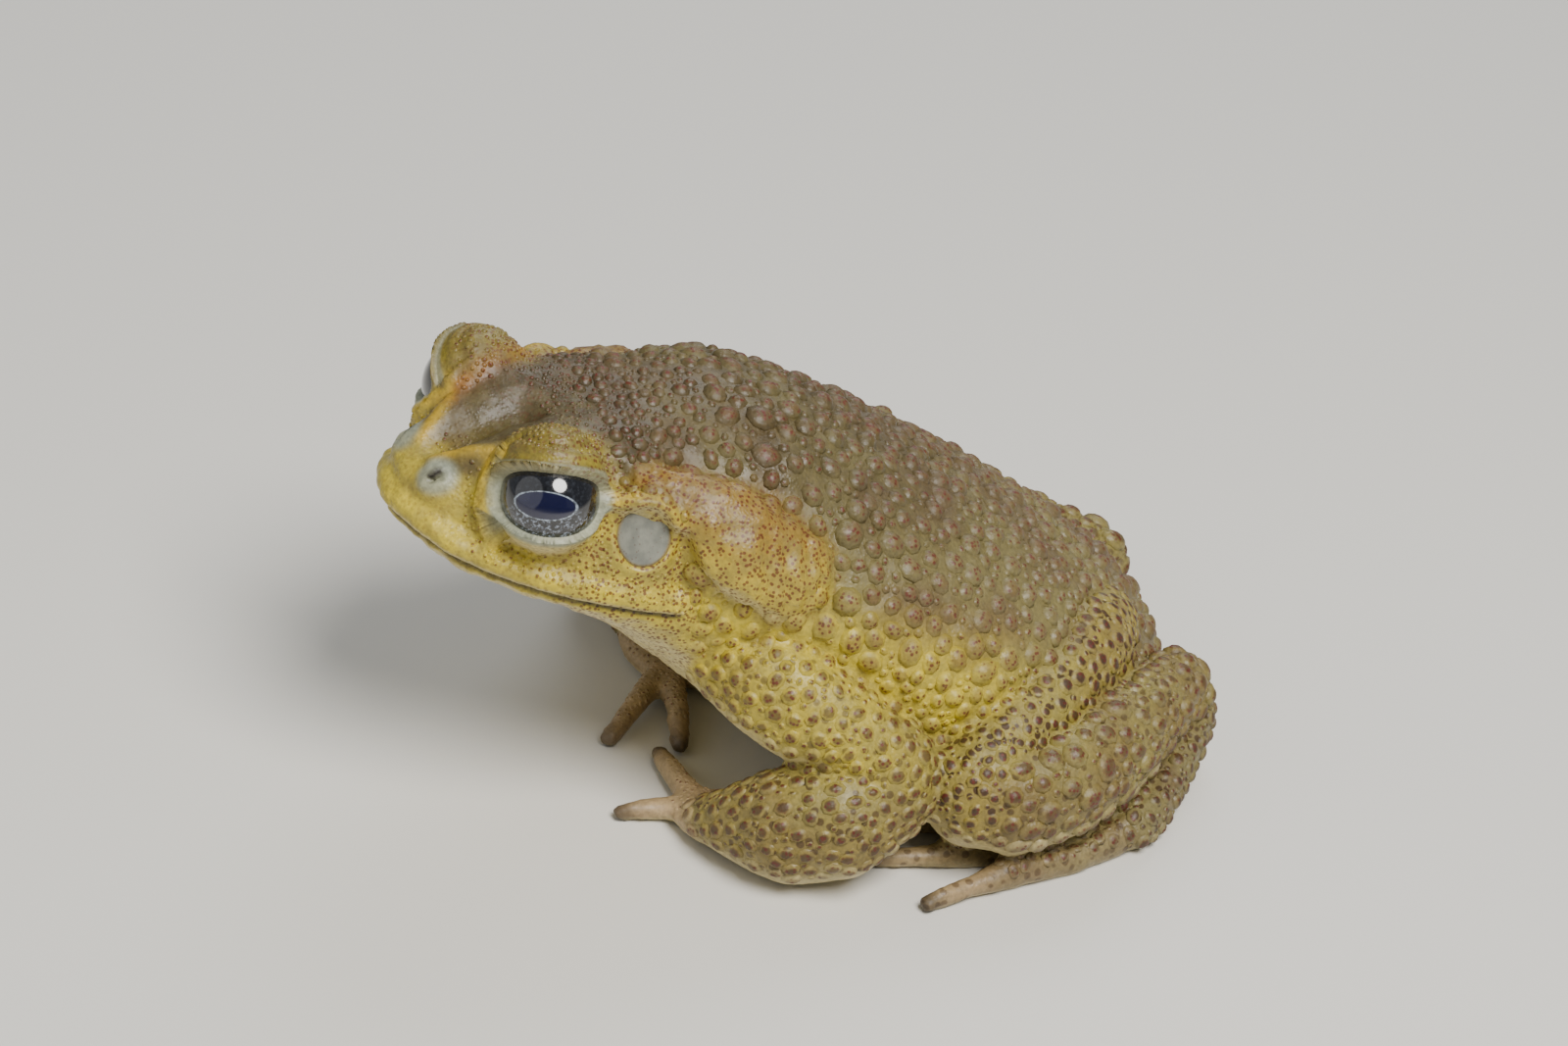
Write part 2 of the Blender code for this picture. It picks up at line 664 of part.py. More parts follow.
def face_forms(side):
    """Eye dome, ridges, lip and nostril swelling of one side of the head."""
    flip = Vector((side, 1, 1))
    lids = (EYE_RADIUS + LID_THICKNESS,) * 3
    return [
        ball("dome", LID_CENTRE * flip, LID_SIZE, rings=7, sides=14),
        ball("lids", EYE_CENTRE * flip, lids, rings=7, sides=14, axis=EYE_AXIS * flip),
        eyelid_rim(side),
        ridge("before_eye", sided(RIDGE_BEFORE_EYE, side)),
        ridge("over_drum", sided(RIDGE_OVER_DRUM, side)),
        ball("nostril", NOSTRIL_CENTRE * flip, NOSTRIL_SIZE, rings=5, sides=10),
        ridge("lip", sided(UPPER_LIP, side), spacing=5.0),
    ]


def half_space(point, normal, offset):
    """A large block that fills the side of a plane that its normal points to."""
    block = box("block", (-BLOCK_REACH, -BLOCK_REACH, 0), (BLOCK_REACH, BLOCK_REACH, 2 * BLOCK_REACH))
    turn = Vector((0, 0, 1)).rotation_difference(normal).to_matrix().to_4x4()
    turn.translation = (point + normal * offset) * MM
    block.data.transform(turn)
    return block


def mouth_block(upward):
    """A block that fills everything above, or below, the line of the mouth, less half a gap."""
    near_side = -GAP / 2 if upward else GAP / 2
    far_side = MOUTH_BLOCK_TOP if upward else MOUTH_BLOCK_BOTTOM
    points = []
    for x in (-MOUTH_BLOCK_SIDE, MOUTH_BLOCK_SIDE):
        for y, z in MOUTH_LINE:
            points.append((x, y, z + near_side))
        for y, z in MOUTH_LINE:
            points.append((x, y, far_side))
    count = len(MOUTH_LINE)
    faces = []
    for k in range(count - 1):
        for shift in (0, 2 * count):
            faces.append((shift + k, shift + k + 1, shift + count + k + 1, shift + count + k))
        for shift in (0, count):
            faces.append((shift + k, shift + k + 1, shift + 2 * count + k + 1, shift + 2 * count + k))
    for k in (0, count - 1):
        faces.append((k, count + k, 3 * count + k, 2 * count + k))
    return mesh_object("block", points, faces)


def material(name, colour, roughness, metallic=0.0):
    """A plain surface finish."""
    finish = bpy.data.materials.new(name)
    finish.use_nodes = True
    shader = finish.node_tree.nodes["Principled BSDF"]
    shader.inputs["Base Color"].default_value = (*colour, 1.0)
    shader.inputs["Roughness"].default_value = roughness
    shader.inputs["Metallic"].default_value = metallic
    return finish


def give(thing, name, colour, roughness):
    """Name an object and give it its own finish and smooth shading."""
    thing.name = name
    thing.data.name = name
    thing.data.materials.clear()
    thing.data.materials.append(material(name, colour, roughness))
    for face in thing.data.polygons:
        face.use_smooth = True


def hand(palm, fingers):
    """A palm with four blunt fingers."""
    base = limb("hand", palm, sides=10, spacing=3.0)
    combine(base, [limb("finger", finger, sides=DIGIT_SIDES, spacing=5.0) for finger in fingers], "UNION")
    return base


def along(rows, share):
    """The place at a share of the way along rows of places."""
    at = share * (len(rows) - 1)
    i = min(int(at), len(rows) - 2)
    return Vector(rows[i][:3]).lerp(Vector(rows[i + 1][:3]), at - i)


def web(rows_a, rows_b, reach):
    """A thin sheet of skin between two toes, to a share of their length, hollow at its free edge."""
    first = smooth_rows(rows_a, 4.0)
    second = smooth_rows(rows_b, 4.0)
    top = []
    for k in range(WEB_STEPS + 1):
        share = k / WEB_STEPS
        a = along(first, reach * share)
        b = along(second, reach * share)
        inset = (b - a).normalized() * WEB_INSET
        drawn = reach * share * (1 - WEB_HOLLOW * share)
        middle = (along(first, drawn) + along(second, drawn)) / 2
        top += [a + inset, middle, b - inset]
    half = len(top)
    lift = Vector((0.0, 0.0, WEB_THICKNESS / 2))
    points = [p + lift for p in top] + [p - lift for p in top]
    faces = []
    for k in range(WEB_STEPS):
        for j in range(2):
            i = 3 * k + j
            faces.append((i, i + 1, i + 4, i + 3))
            faces.append((half + i, half + i + 3, half + i + 4, half + i + 1))
        for i in (3 * k, 3 * k + 2):
            faces.append((i, i + 3, half + i + 3, half + i))
    for start in (0, 3 * WEB_STEPS):
        for i in (start, start + 1):
            faces.append((i, half + i, half + i + 1, i + 1))
    return mesh_object("web", points, faces)


def foot(toes):
    """A sole with five toes, webbed at their bases."""
    hub = Vector((0, 0, 0))
    for toe in toes:
        hub += Vector(toe[0][:3]) / len(toes)
    start = [(hub.x, hub.y + 1.5, 3.0, 5.6, 2.9), (hub.x, hub.y - 5.0, 2.2, 5.6, 2.2)]
    base = limb("foot", start, sides=10, spacing=3.0, cap=0.6)
    pieces = [limb("toe", toe, sides=DIGIT_SIDES, spacing=7.0) for toe in toes]
    pieces += [web(a, b, WEB_REACH) for a, b in zip(toes[:-1], toes[1:])]
    combine(base, pieces, "UNION")
    return base


def build():
    """Make every part of the toad."""
    clear_scene()
    parts = {}

    # Head and torso
    trunk = make_trunk()
    combine(trunk, on_both_sides(face_forms), "UNION")
    sockets = []
    for side, word in ((1.0, "left"), (-1.0, "right")):
        flip = Vector((side, 1, 1))
        eye = ball("eye", EYE_CENTRE * flip, (EYE_RADIUS,) * 3, rings=9, sides=16, axis=EYE_AXIS * flip)
        parts["eye_" + word] = eye
        sockets.append(grown(eye))
        middle = EYE_CENTRE + EYE_AXIS * EYE_OPENING_OUT + Vector((0.0, 0.0, EYE_OPENING_LIFT))
        size = (EYE_OPENING_HEIGHT / 2, EYE_OPENING_WIDTH / 2, EYE_OPENING_DEPTH / 2)
        opening = ball("opening", middle * flip, size, rings=7, sides=16, axis=EYE_AXIS * flip)
        sockets.append(opening)
        nostril = ball("slit", (NOSTRIL_CENTRE + NOSTRIL_SLIT_AT) * flip, NOSTRIL_SLIT_SIZE,
                       rings=5, sides=8, axis=NOSTRIL_SLIT_AXIS * flip)
        sockets.append(nostril)
    combine(trunk, sockets, "DIFFERENCE")

    for side, word in ((1.0, "left"), (-1.0, "right")):
        flip = Vector((side, 1, 1))
        place, normal = near(surface_of(trunk), EARDRUM_CENTRE * flip)
        size = (EARDRUM_WIDTH / 2, EARDRUM_HEIGHT / 2, EARDRUM_DEPTH / 2)
        sunk = place - normal * (EARDRUM_DEPTH / 2 - EARDRUM_PROUD)
        drum = ball("drum", sunk, size, rings=5, sides=16, axis=normal)
        parts["eardrum_" + word] = drum
        sink = GLAND_OUTWARD * (RIGHT_GLAND_SINK if side < 0 else 0.0)
        rows = [(x - sink.x, y, z - sink.z, across, thick) for x, y, z, across, thick in GLAND]
        gland = limb("gland", sided(rows, side), up=GLAND_OUTWARD * flip, sides=14, spacing=5.0)
        cut_by(gland, [drum])
        parts["parotoid_" + word] = gland
    cut_by(trunk, [parts[n + w] for n in ("eardrum_", "parotoid_") for w in ("left", "right")])

    head = copy_of(trunk, "head")
    jaw = copy_of(trunk, "jaw")
    combine(trunk, [half_space(NECK_POINT, -NECK_NORMAL, -GAP / 2)], "DIFFERENCE")
    for thing, upward in ((head, False), (jaw, True)):
        combine(thing, [half_space(NECK_POINT, NECK_NORMAL, -GAP / 2)], "DIFFERENCE")
        combine(thing, [mouth_block(upward)], "DIFFERENCE")
    parts["head"] = head
    parts["lower_jaw"] = jaw
    parts["torso"] = trunk

    # Limbs, each cut by the parts it is pressed against
    wholes = []
    warty = []
    right_toes = [[(-x, y + RIGHT_FOOT_BACK, z, r) for x, y, z, r in toe] for toe in LEFT_TOES]
    for word, arm_rows, forearm_rows, palm_rows, fingers, thigh_rows, shank_rows, ankle_rows, toes in (
        ("left", LEFT_UPPER_ARM, LEFT_FOREARM, LEFT_PALM, LEFT_FINGERS,
         LEFT_THIGH, LEFT_SHANK, LEFT_ANKLE, LEFT_TOES),
        ("right", RIGHT_UPPER_ARM, RIGHT_FOREARM, RIGHT_PALM, RIGHT_FINGERS,
         RIGHT_THIGH, RIGHT_SHANK, RIGHT_ANKLE, right_toes),
    ):
        arm = limb("arm", arm_rows)
        fore = limb("fore", forearm_rows)
        thigh = limb("thigh", thigh_rows)
        shank = limb("shank", shank_rows)
        ankle = limb("ankle", ankle_rows)
        palm = hand(palm_rows, fingers)
        sole = foot(toes)
        side = 1.0 if word == "left" else -1.0
        whole_arm, whole_fore, whole_thigh, whole_shank, whole_ankle = (
            copy_of(thing, "whole") for thing in (arm, fore, thigh, shank, ankle))
        body = [trunk, jaw, parts["parotoid_" + word]]
        for key, thing, cutters in (
            ("upper_arm_", arm, body),
            ("forearm_", fore, [trunk, whole_arm]),
            ("hand_", palm, [trunk, whole_fore]),
            ("thigh_", thigh, [trunk, whole_arm, whole_fore]),
            ("shank_", shank, [trunk, whole_fore, whole_thigh]),
            ("ankle_", ankle, [trunk, whole_thigh, whole_shank]),
            ("foot_", sole, [trunk, whole_fore, whole_thigh, whole_shank, whole_ankle]),
        ):
            cut_by(thing, cutters)
            parts[key + word] = thing
        wholes += [whole_arm, whole_fore, whole_thigh, whole_shank, whole_ankle]
        warty += [
            ("upper_arm_" + word, arm_rows, side, whole_arm),
            ("forearm_" + word, forearm_rows, side, whole_fore),
            ("thigh_" + word, thigh_rows, side, whole_thigh),
            ("shank_" + word, shank_rows, side, whole_shank),
        ]

    # Large warts, on the parts already cut and clear of every neighbour
    glands = [surface_of(parts["parotoid_left"]), surface_of(parts["parotoid_right"])]
    limbs = {thing: surface_of(thing) for thing in wholes}
    skin = surface_of(trunk)
    for seed, (key, rows, side, whole) in enumerate(warty):
        others = [tree for thing, tree in limbs.items() if thing != whole] + [skin]
        warts = limb_warts(parts[key], rows, side, others, WART_SEED + seed)
        if warts:
            combine(parts[key], warts, "UNION", "MANIFOLD")
    combine(trunk, back_warts(trunk, list(limbs.values()) + glands), "UNION", "MANIFOLD")
    for thing in wholes:
        drop(thing)
    return parts


def finish(parts):
    """Flatten what rests on the floor, give finishes and centre the toad on its box."""
    for name, thing in parts.items():
        if min(v.co.z for v in thing.data.vertices) < 0:
            under = box("floor", (-FLOOR_REACH, -FLOOR_REACH, -FLOOR_DEPTH), (FLOOR_REACH, FLOOR_REACH, 0))
            combine(thing, [under], "DIFFERENCE")
        colour, roughness = FINISHES[name.rsplit("_", 1)[0] if name.endswith(("left", "right")) else name]
        thing.data.transform(Matrix.Translation(SHIFT * MM))
        give(thing, name, colour, roughness)


finish(build())
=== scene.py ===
"""A life-size cane toad dressed for its picture: one warty skin, wet eyes, eardrums, a pale studio and a camera.

The toad looks along -Y with its left side at +X. Places and lengths below are in millimetres in the frame of the
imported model, and are turned into metres when a surface is written.
"""

import math

import bmesh
import bpy
import numpy as np
from bpy.props import FloatProperty, FloatVectorProperty, IntProperty, PointerProperty
from bpy.types import Operator, Panel, PropertyGroup
from mathutils import Matrix, Vector
from mathutils.bvhtree import BVHTree
from mathutils.noise import noise as noise_at


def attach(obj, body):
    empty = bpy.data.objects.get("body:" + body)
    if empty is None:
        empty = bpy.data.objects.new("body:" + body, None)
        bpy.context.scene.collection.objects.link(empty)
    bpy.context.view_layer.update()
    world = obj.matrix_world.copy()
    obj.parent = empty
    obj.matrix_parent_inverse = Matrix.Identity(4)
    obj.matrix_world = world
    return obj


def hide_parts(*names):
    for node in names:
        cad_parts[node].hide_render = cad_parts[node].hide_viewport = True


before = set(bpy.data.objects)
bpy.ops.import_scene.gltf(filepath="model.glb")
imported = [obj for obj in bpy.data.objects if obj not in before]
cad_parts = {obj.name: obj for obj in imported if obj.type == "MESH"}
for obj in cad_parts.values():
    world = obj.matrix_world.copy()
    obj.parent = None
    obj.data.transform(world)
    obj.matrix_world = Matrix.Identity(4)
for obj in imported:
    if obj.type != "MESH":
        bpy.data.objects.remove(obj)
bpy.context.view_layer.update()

bl_info = {
    "name": "Cane toad",
    "version": (1, 0, 0),
    "blender": (4, 5, 0),
    "location": "3D View > Sidebar > Toad",
    "description": "Builds the skin, warts, eyes and studio of a life-size cane toad",
    "category": "Object",
}

MM = 0.001

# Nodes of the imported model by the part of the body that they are
PARTS = (
    "head", "lower_jaw", "torso", "parotoid", "upper_arm", "forearm", "hand",
    "thigh", "shank", "ankle", "foot", "eardrum", "eye",
)
FLESH = [name for name in sorted(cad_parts) if not name.startswith(("eye_", "eardrum_"))]

# Eye of the left side: its centre, the way it looks, and the opening between the lids
EYE_CENTRE = Vector((14.7, -50.3, 54.9))
EYE_AXIS = Vector((0.82, -0.38, 0.42)).normalized()
EYEBALL_RADIUS = 6.8
LID_RADIUS = 7.5
HOOD = 0.8
OPENING_HALF_WIDTH = 7.0
OPENING_ABOVE = 4.1
OPENING_BELOW = 5.0

# Line inside the body, from the nape to the rump, that heights on the flank are taken from
AXIS_FRONT = Vector((0.0, -25.8, 37.0))
AXIS_BACK = Vector((0.0, 54.2, 10.0))

# Line of the mouth: y and height
MOUTH_LINE = (
    (-68.0, 47.1), (-63.4, 45.4), (-59.4, 44.0), (-54.8, 42.7), (-46.8, 40.9), (-37.8, 39.3), (-31.0, 38.0),
)

# Raised and sunk lines of the left side of the head: places, radius and height
NOSTRIL = Vector((5.6, -63.4, 54.4))
NOSTRIL_SLIT = ((5.7, -63.9, 54.1), (6.5, -63.0, 55.2))
CANTHAL_RIDGE = ((10.0, -55.5, 60.0), (7.0, -57.0, 58.6), (4.6, -59.6, 57.2), (2.4, -62.4, 55.6))
PREORBITAL_RIDGE = ((8.4, -57.0, 58.2), (10.2, -58.4, 56.0), (12.2, -58.9, 53.0), (14.4, -57.4, 49.0))
BROW_RIDGE = ((6.6, -58.0, 58.6), (8.2, -53.0, 61.4), (11.0, -45.5, 61.8), (15.0, -40.0, 60.4))
LID_CREST = ((12.0, -57.4, 59.2), (15.6, -55.6, 61.6), (18.2, -51.6, 61.8), (19.2, -47.4, 60.6), (19.0, -43.6, 58.0))
DRUM_RIDGE = ((18.6, -43.6, 56.6), (19.8, -39.6, 56.6), (21.0, -36.6, 55.8), (22.2, -34.6, 53.0))
DRUM_HOLLOW = ((22.0, -33.8, 51.0), (22.8, -33.4, 47.0), (23.6, -33.2, 43.0))
GLAND_EDGE = (
    (17.0, -37.0, 59.2), (15.4, -30.0, 58.4), (17.4, -23.0, 56.4), (22.0, -15.5, 52.0), (27.6, -10.6, 44.0),
    (29.6, -12.6, 38.6), (28.6, -21.6, 39.4), (26.6, -28.8, 42.4), (24.0, -33.6, 47.0), (22.4, -36.0, 53.4),
)
GLAND_FOLDS = (
    ((20.6, -20.6, 54.4), (26.6, -23.0, 49.4), (29.4, -23.0, 43.0)),
    ((22.4, -18.2, 53.2), (28.0, -19.8, 47.6), (30.0, -19.6, 41.6)),
    ((24.6, -15.8, 50.8), (28.8, -16.6, 45.6), (30.2, -16.4, 40.4)),
    ((27.0, -13.4, 47.6), (29.4, -13.8, 42.6), (30.0, -13.6, 39.6)),
)
SHED_PATCH = Vector((28.5, -23.0, 33.4))

# Ends of the fingers and toes of each side
FINGER_TIPS = (
    (17.6, -34.4, 1.2), (5.6, -23.0, 1.2), (17.2, -9.8, 1.2), (23.4, -11.2, 1.2),
    (0.8, -29.0, 1.2), (5.0, -19.4, 1.4), (-0.6, -6.6, 1.2), (-10.6, -2.2, 1.2),
)
TOE_TIPS = (
    (48.2, -0.4, 1.2), (36.8, -3.4, 1.2), (29.6, 2.2, 1.2), (26.6, 17.8, 1.2), (25.4, 26.8, 1.2),
    (-48.2, 10.2, 1.2), (-36.8, 7.2, 1.2), (-29.6, 12.8, 1.2), (-26.6, 28.4, 1.2), (-25.4, 37.4, 1.2),
)

# Camera: the way from the toad to it, its right and up, its place and its lens
VIEW_BACK = Vector((0.7344, -0.4240, 0.5299))
VIEW_RIGHT = Vector((0.4183, 0.8976, 0.1385))
VIEW_UP = Vector((-0.5344, 0.1199, 0.8366))
VIEW_PLACE = Vector((445.4, -262.5, 356.3))
VIEW_LENS = 96.8


def smooth_step(value, low, high):
    """0 below `low`, 1 above `high` and a smooth rise between."""
    t = np.clip((value - low) / (high - low), 0.0, 1.0)
    return t * t * (3.0 - 2.0 * t)


def bell(distance, radius):
    """1 at no distance, falling smoothly to nothing at about twice the radius."""
    return np.exp(-((distance / radius) ** 2))


def mirrored(points, side):
    """Places of the left side moved to a side of the body."""
    return [(p[0] * side, p[1], p[2]) for p in points]


def distance_to_line(points, line):
    """How far each point is from a line through places."""
    best = np.full(len(points), np.inf)
    line = [np.array(p, float) for p in line]
    for start, end in zip(line[:-1], line[1:]):
        run = end - start
        t = np.clip((points - start) @ run / max(run @ run, 1e-9), 0.0, 1.0)
        best = np.minimum(best, np.linalg.norm(points - start - t[:, None] * run, axis=1))
    return best


def points_of(mesh):
    """A mesh's points in millimetres."""
    out = np.empty(len(mesh.vertices) * 3)
    mesh.vertices.foreach_get("co", out)
    return out.reshape(-1, 3) / MM


def normals_of(mesh):
    """A mesh's outward directions at its points."""
    out = np.empty(len(mesh.vertices) * 3)
    mesh.vertices.foreach_get("normal", out)
    return out.reshape(-1, 3)


def put_points(mesh, points):
    """Move a mesh's points, given in millimetres."""
    mesh.vertices.foreach_set("co", (points * MM).ravel())
    mesh.update()


def neighbours_mean(edges, count):
    """A function that gives each point the mean of its neighbours' values."""
    degree = np.bincount(edges.ravel(), minlength=count).clip(1)

    def mean(values):
        out = np.empty_like(values)
        for k in range(values.shape[1]):
            column = values[:, k]
            out[:, k] = (np.bincount(edges[:, 0], column[edges[:, 1]], count)
                         + np.bincount(edges[:, 1], column[edges[:, 0]], count)) / degree
        return out

    return mean


def edges_of(mesh):
    """The two ends of each edge."""
    out = np.empty(len(mesh.edges) * 2, np.int32)
    mesh.edges.foreach_get("vertices", out)
    return out.reshape(-1, 2)


def relax(mesh, weights, times):
    """Smooth a mesh, each point by its own weight."""
    mean = neighbours_mean(edges_of(mesh), len(mesh.vertices))
    points = points_of(mesh)
    for _ in range(times):
        points += (mean(points) - points) * weights[:, None]
    put_points(mesh, points)


def joined_copy(names):
    """One mesh of copies of the named nodes, with their doubled points merged."""
    body = bmesh.new()
    for name in names:
        body.from_mesh(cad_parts[name].data)
    bmesh.ops.remove_doubles(body, verts=body.verts, dist=0.001 * MM)
    mesh = bpy.data.meshes.new("joined")
    body.to_mesh(mesh)
    body.free()
    return mesh


def keep_largest(mesh):
    """Keep only a mesh's largest connected surface."""
    body = bmesh.new()
    body.from_mesh(mesh)
    body.faces.ensure_lookup_table()
    seen = np.zeros(len(body.faces), bool)
    groups = []
    for face in body.faces:
        if seen[face.index]:
            continue
        seen[face.index] = True
        group = [face]
        for at in group:
            for edge in at.edges:
                for other in edge.link_faces:
                    if not seen[other.index]:
                        seen[other.index] = True
                        group.append(other)
        groups.append(group)
    groups.sort(key=len)
    spare = [face for group in groups[:-1] for face in group]
    bmesh.ops.delete(body, geom=spare, context="FACES")
    bmesh.ops.delete(body, geom=[v for v in body.verts if not v.link_faces], context="VERTS")
    body.to_mesh(mesh)
    body.free()


def show(name, mesh, replaces=()):
    """Put a finished mesh in the scene as a piece that rides on the toad's one body."""
    piece = bpy.data.objects.new(name, mesh)
    bpy.context.scene.collection.objects.link(piece)
    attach(piece, "root")
    if replaces:
        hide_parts(*replaces)
    return piece


def part_of_points(points):
    """For each point, the index in PARTS of the node that it is nearest to."""
    body = bmesh.new()
    owners = []
    for name in sorted(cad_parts):
        body.from_mesh(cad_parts[name].data)
        stem = name.rsplit("_", 1)[0] if name.endswith(("_left", "_right")) else name
        owners += [PARTS.index(stem)] * (len(body.faces) - len(owners))
    tree = BVHTree.FromBMesh(body)
    body.free()
    return np.array([owners[tree.find_nearest(Vector(p) * MM)[2]] for p in points])


def height_over_axis(points):
    """How far each point is above the line inside the body."""
    share = (points[:, 1] - AXIS_FRONT.y) / (AXIS_BACK.y - AXIS_FRONT.y)
    return points[:, 2] - (AXIS_FRONT.z + (AXIS_BACK.z - AXIS_FRONT.z) * share)


def mouth_height(points):
    """Height of the line of the mouth at each point's y."""
    ys, zs = zip(*MOUTH_LINE)
    return np.interp(points[:, 1], ys, zs)


def eye_frame(side):
    """Centre, forward, right and up directions of an eye, as arrays."""
    forward = np.array((EYE_AXIS.x * side, EYE_AXIS.y, EYE_AXIS.z))
    across = np.array((-EYE_AXIS.y * side, EYE_AXIS.x, 0.0))
    across /= np.linalg.norm(across)
    up = np.array((0.0, 0.0, 1.0)) - forward * forward[2]
    up /= np.linalg.norm(up)
    return np.array((EYE_CENTRE.x * side, EYE_CENTRE.y, EYE_CENTRE.z)), forward, across, up


def opening_share(points, side):
    """Where points are in the lids' opening: below 1 inside it. Also their distance and direction from the eye."""
    centre, forward, across, up = eye_frame(side)
    away = points - centre
    distance = np.linalg.norm(away, axis=1).clip(1e-6)
    direction = away / distance[:, None]
    wide = direction @ across * EYEBALL_RADIUS
    high = direction @ up * EYEBALL_RADIUS
    reach = np.where(high > 0, OPENING_ABOVE, OPENING_BELOW)
    power = np.where(high > 0, 3.0, 2.2)
    share = (np.abs(wide) / OPENING_HALF_WIDTH) ** power + (np.abs(high) / reach) ** power
    share = np.where(direction @ forward > 0.05, share ** (1 / power), 9.0)
    return share, distance, direction


def open_eyes(mesh, settings):
    """Sink the skin inside each lid opening under the eyeball and raise the lids' edges round it."""
    points = points_of(mesh)
    for side in (1.0, -1.0):
        centre = eye_frame(side)[0]
        share, distance, direction = opening_share(points, side)
        close = distance < 11.5
        lid = close * smooth_step(share, 0.97, 1.01) * (1 - smooth_step(share, 1.12, 1.5))
        inner = close * (1 - smooth_step(share, 0.92, 1.0))
        hood = HOOD * smooth_step((points - centre) @ eye_frame(side)[3], 0.5, 3.5)
        target = np.where(inner > 0.5, EYEBALL_RADIUS - 1.3, LID_RADIUS + hood)
        weight = np.maximum(lid, inner)
        radius = distance + (target - distance) * weight
        above = smooth_step((points - centre) @ eye_frame(side)[3], 0.0, 2.5) * close
        radius += above * (bell(share - 1.24, 0.09) * 0.35 - bell(share - 1.42, 0.07) * 0.55) * settings.relief
        points = centre + direction * radius[:, None]
    put_points(mesh, points)


def drum_frame(side):
    """Centre, outward direction, and the two half sizes' directions of an eardrum."""
    name = "eardrum_left" if side > 0 else "eardrum_right"
    points = points_of(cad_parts[name].data)
    centre = (points.min(0) + points.max(0)) / 2
    _, _, turn = np.linalg.svd(points - points.mean(0), full_matrices=False)
    outward = turn[2] * np.sign(turn[2][0] * side)
    up = np.array((0.0, 0.0, 1.0)) - outward * outward[2]
    up /= np.linalg.norm(up)
    return centre, outward, np.cross(up, outward), up


def laid_on(points, line):
    """A line's places moved to the nearest points of the skin."""
    return [points[np.argmin(((points - np.array(place)) ** 2).sum(1))] for place in line]


def raise_line(points, normals, line, radius, height):
    """Raise, or sink, the surface along a line."""
    points += normals * (height * bell(distance_to_line(points, line), radius))[:, None]


def sculpt_head(mesh, settings):
    """Ridges, creases, lips, nostrils and gland folds, worked into the skin."""
    for round_of_lines in (broad_lines, fine_lines):
        points = points_of(mesh)
        normals = normals_of(mesh)
        for side in (1.0, -1.0):
            for line, radius, height in round_of_lines():
                placed = laid_on(points, mirrored(line, side))
                raise_line(points, normals, placed, radius, height * settings.relief)
        put_points(mesh, points)
    sink_mouth(mesh)


def broad_lines():
    """Broad forms of one side of the head: line, radius, height."""
    return [
        (((0.0, -61.0, 57.0), (0.0, -56.0, 59.0), (0.0, -50.0, 60.5)), 3.6, -0.9),
        (CANTHAL_RIDGE, 1.5, 0.7),
        (BROW_RIDGE, 1.6, 0.6),
        (DRUM_HOLLOW, 1.5, -0.9),
        (GLAND_EDGE, 1.3, -0.55),
        *((fold, 1.1, -0.9) for fold in GLAND_FOLDS),
    ]


def fine_lines():
    """Fine forms of one side of the head: line, radius, height."""
    nostril = tuple(NOSTRIL)
    return [
        (PREORBITAL_RIDGE, 1.0, 0.35),
        (LID_CREST, 0.8, 0.5),
        (DRUM_RIDGE, 1.0, 0.4),
        ((nostril, nostril), 2.0, 0.35),
        (NOSTRIL_SLIT, 0.55, -1.6),
    ]


def make_uneven(mesh, parts):
    """Give smooth places, such as the glands, lips and throat, their slight lumps."""
    points = points_of(mesh)
    normals = normals_of(mesh)
    amount = np.array([{"parotoid": 0.55, "head": 0.22, "lower_jaw": 0.3, "torso": 0.3}.get(part, 0.12)
                       for part in PARTS])[parts]
    lumps = np.array([noise_at(Vector(p) / 2.6) + 0.5 * noise_at(Vector(p) / 1.2) for p in points])
    points += normals * (lumps * amount)[:, None]
    points[:, 2] = points[:, 2].clip(0.0)
    put_points(mesh, points)


def sink_mouth(mesh):
    """A fine dark line between the lips, with the upper lip full above it."""
    points = points_of(mesh)
    normals = normals_of(mesh)
    above = points[:, 2] - mouth_height(points)
    front = 1 - smooth_step(points[:, 1], -34.0, -31.0)
    outer = smooth_step(np.abs(normals[:, 2]), 1.0, 0.75)
    lip = bell(above - 2.0, 1.6) * 0.45 - bell(above - 4.6, 1.0) * 0.3 - bell(above, 0.5) * 0.75
    points += normals * (lip * front * outer)[:, None]
    put_points(mesh, points)


def refine(mesh, chosen):
    """Split the chosen faces in four."""
    body = bmesh.new()
    body.from_mesh(mesh)
    body.faces.ensure_lookup_table()
    edges = {edge for face, take in zip(body.faces, chosen) if take for edge in face.edges}
    bmesh.ops.subdivide_edges(body, edges=list(edges), cuts=1, use_grid_fill=True)
    body.to_mesh(mesh)
    body.free()


def face_centres(mesh):
    """The middle of each face, in millimetres."""
    out = np.empty(len(mesh.polygons) * 3)
    mesh.polygons.foreach_get("center", out)
    return out.reshape(-1, 3) / MM


FOLDS = (
    ("upper_arm", "forearm", 1.6), ("upper_arm", "torso", 1.4), ("forearm", "torso", 1.2), ("thigh", "torso", 1.8),
    ("thigh", "shank", 2.0), ("shank", "torso", 1.5), ("shank", "ankle", 1.2), ("shank", "foot", 1.2),
    ("head", "torso", 0.3), ("lower_jaw", "torso", 0.6), ("parotoid", "torso", 0.7), ("forearm", "thigh", 0.9),
)


def shares_of(parts, mean, times):
    """How much each point belongs to each part, spread smoothly over their borders."""
    one = np.eye(len(PARTS))[parts]
    for _ in range(times):
        one = one * 0.4 + mean(one) * 0.6
    return {name: one[:, k] for k, name in enumerate(PARTS)}


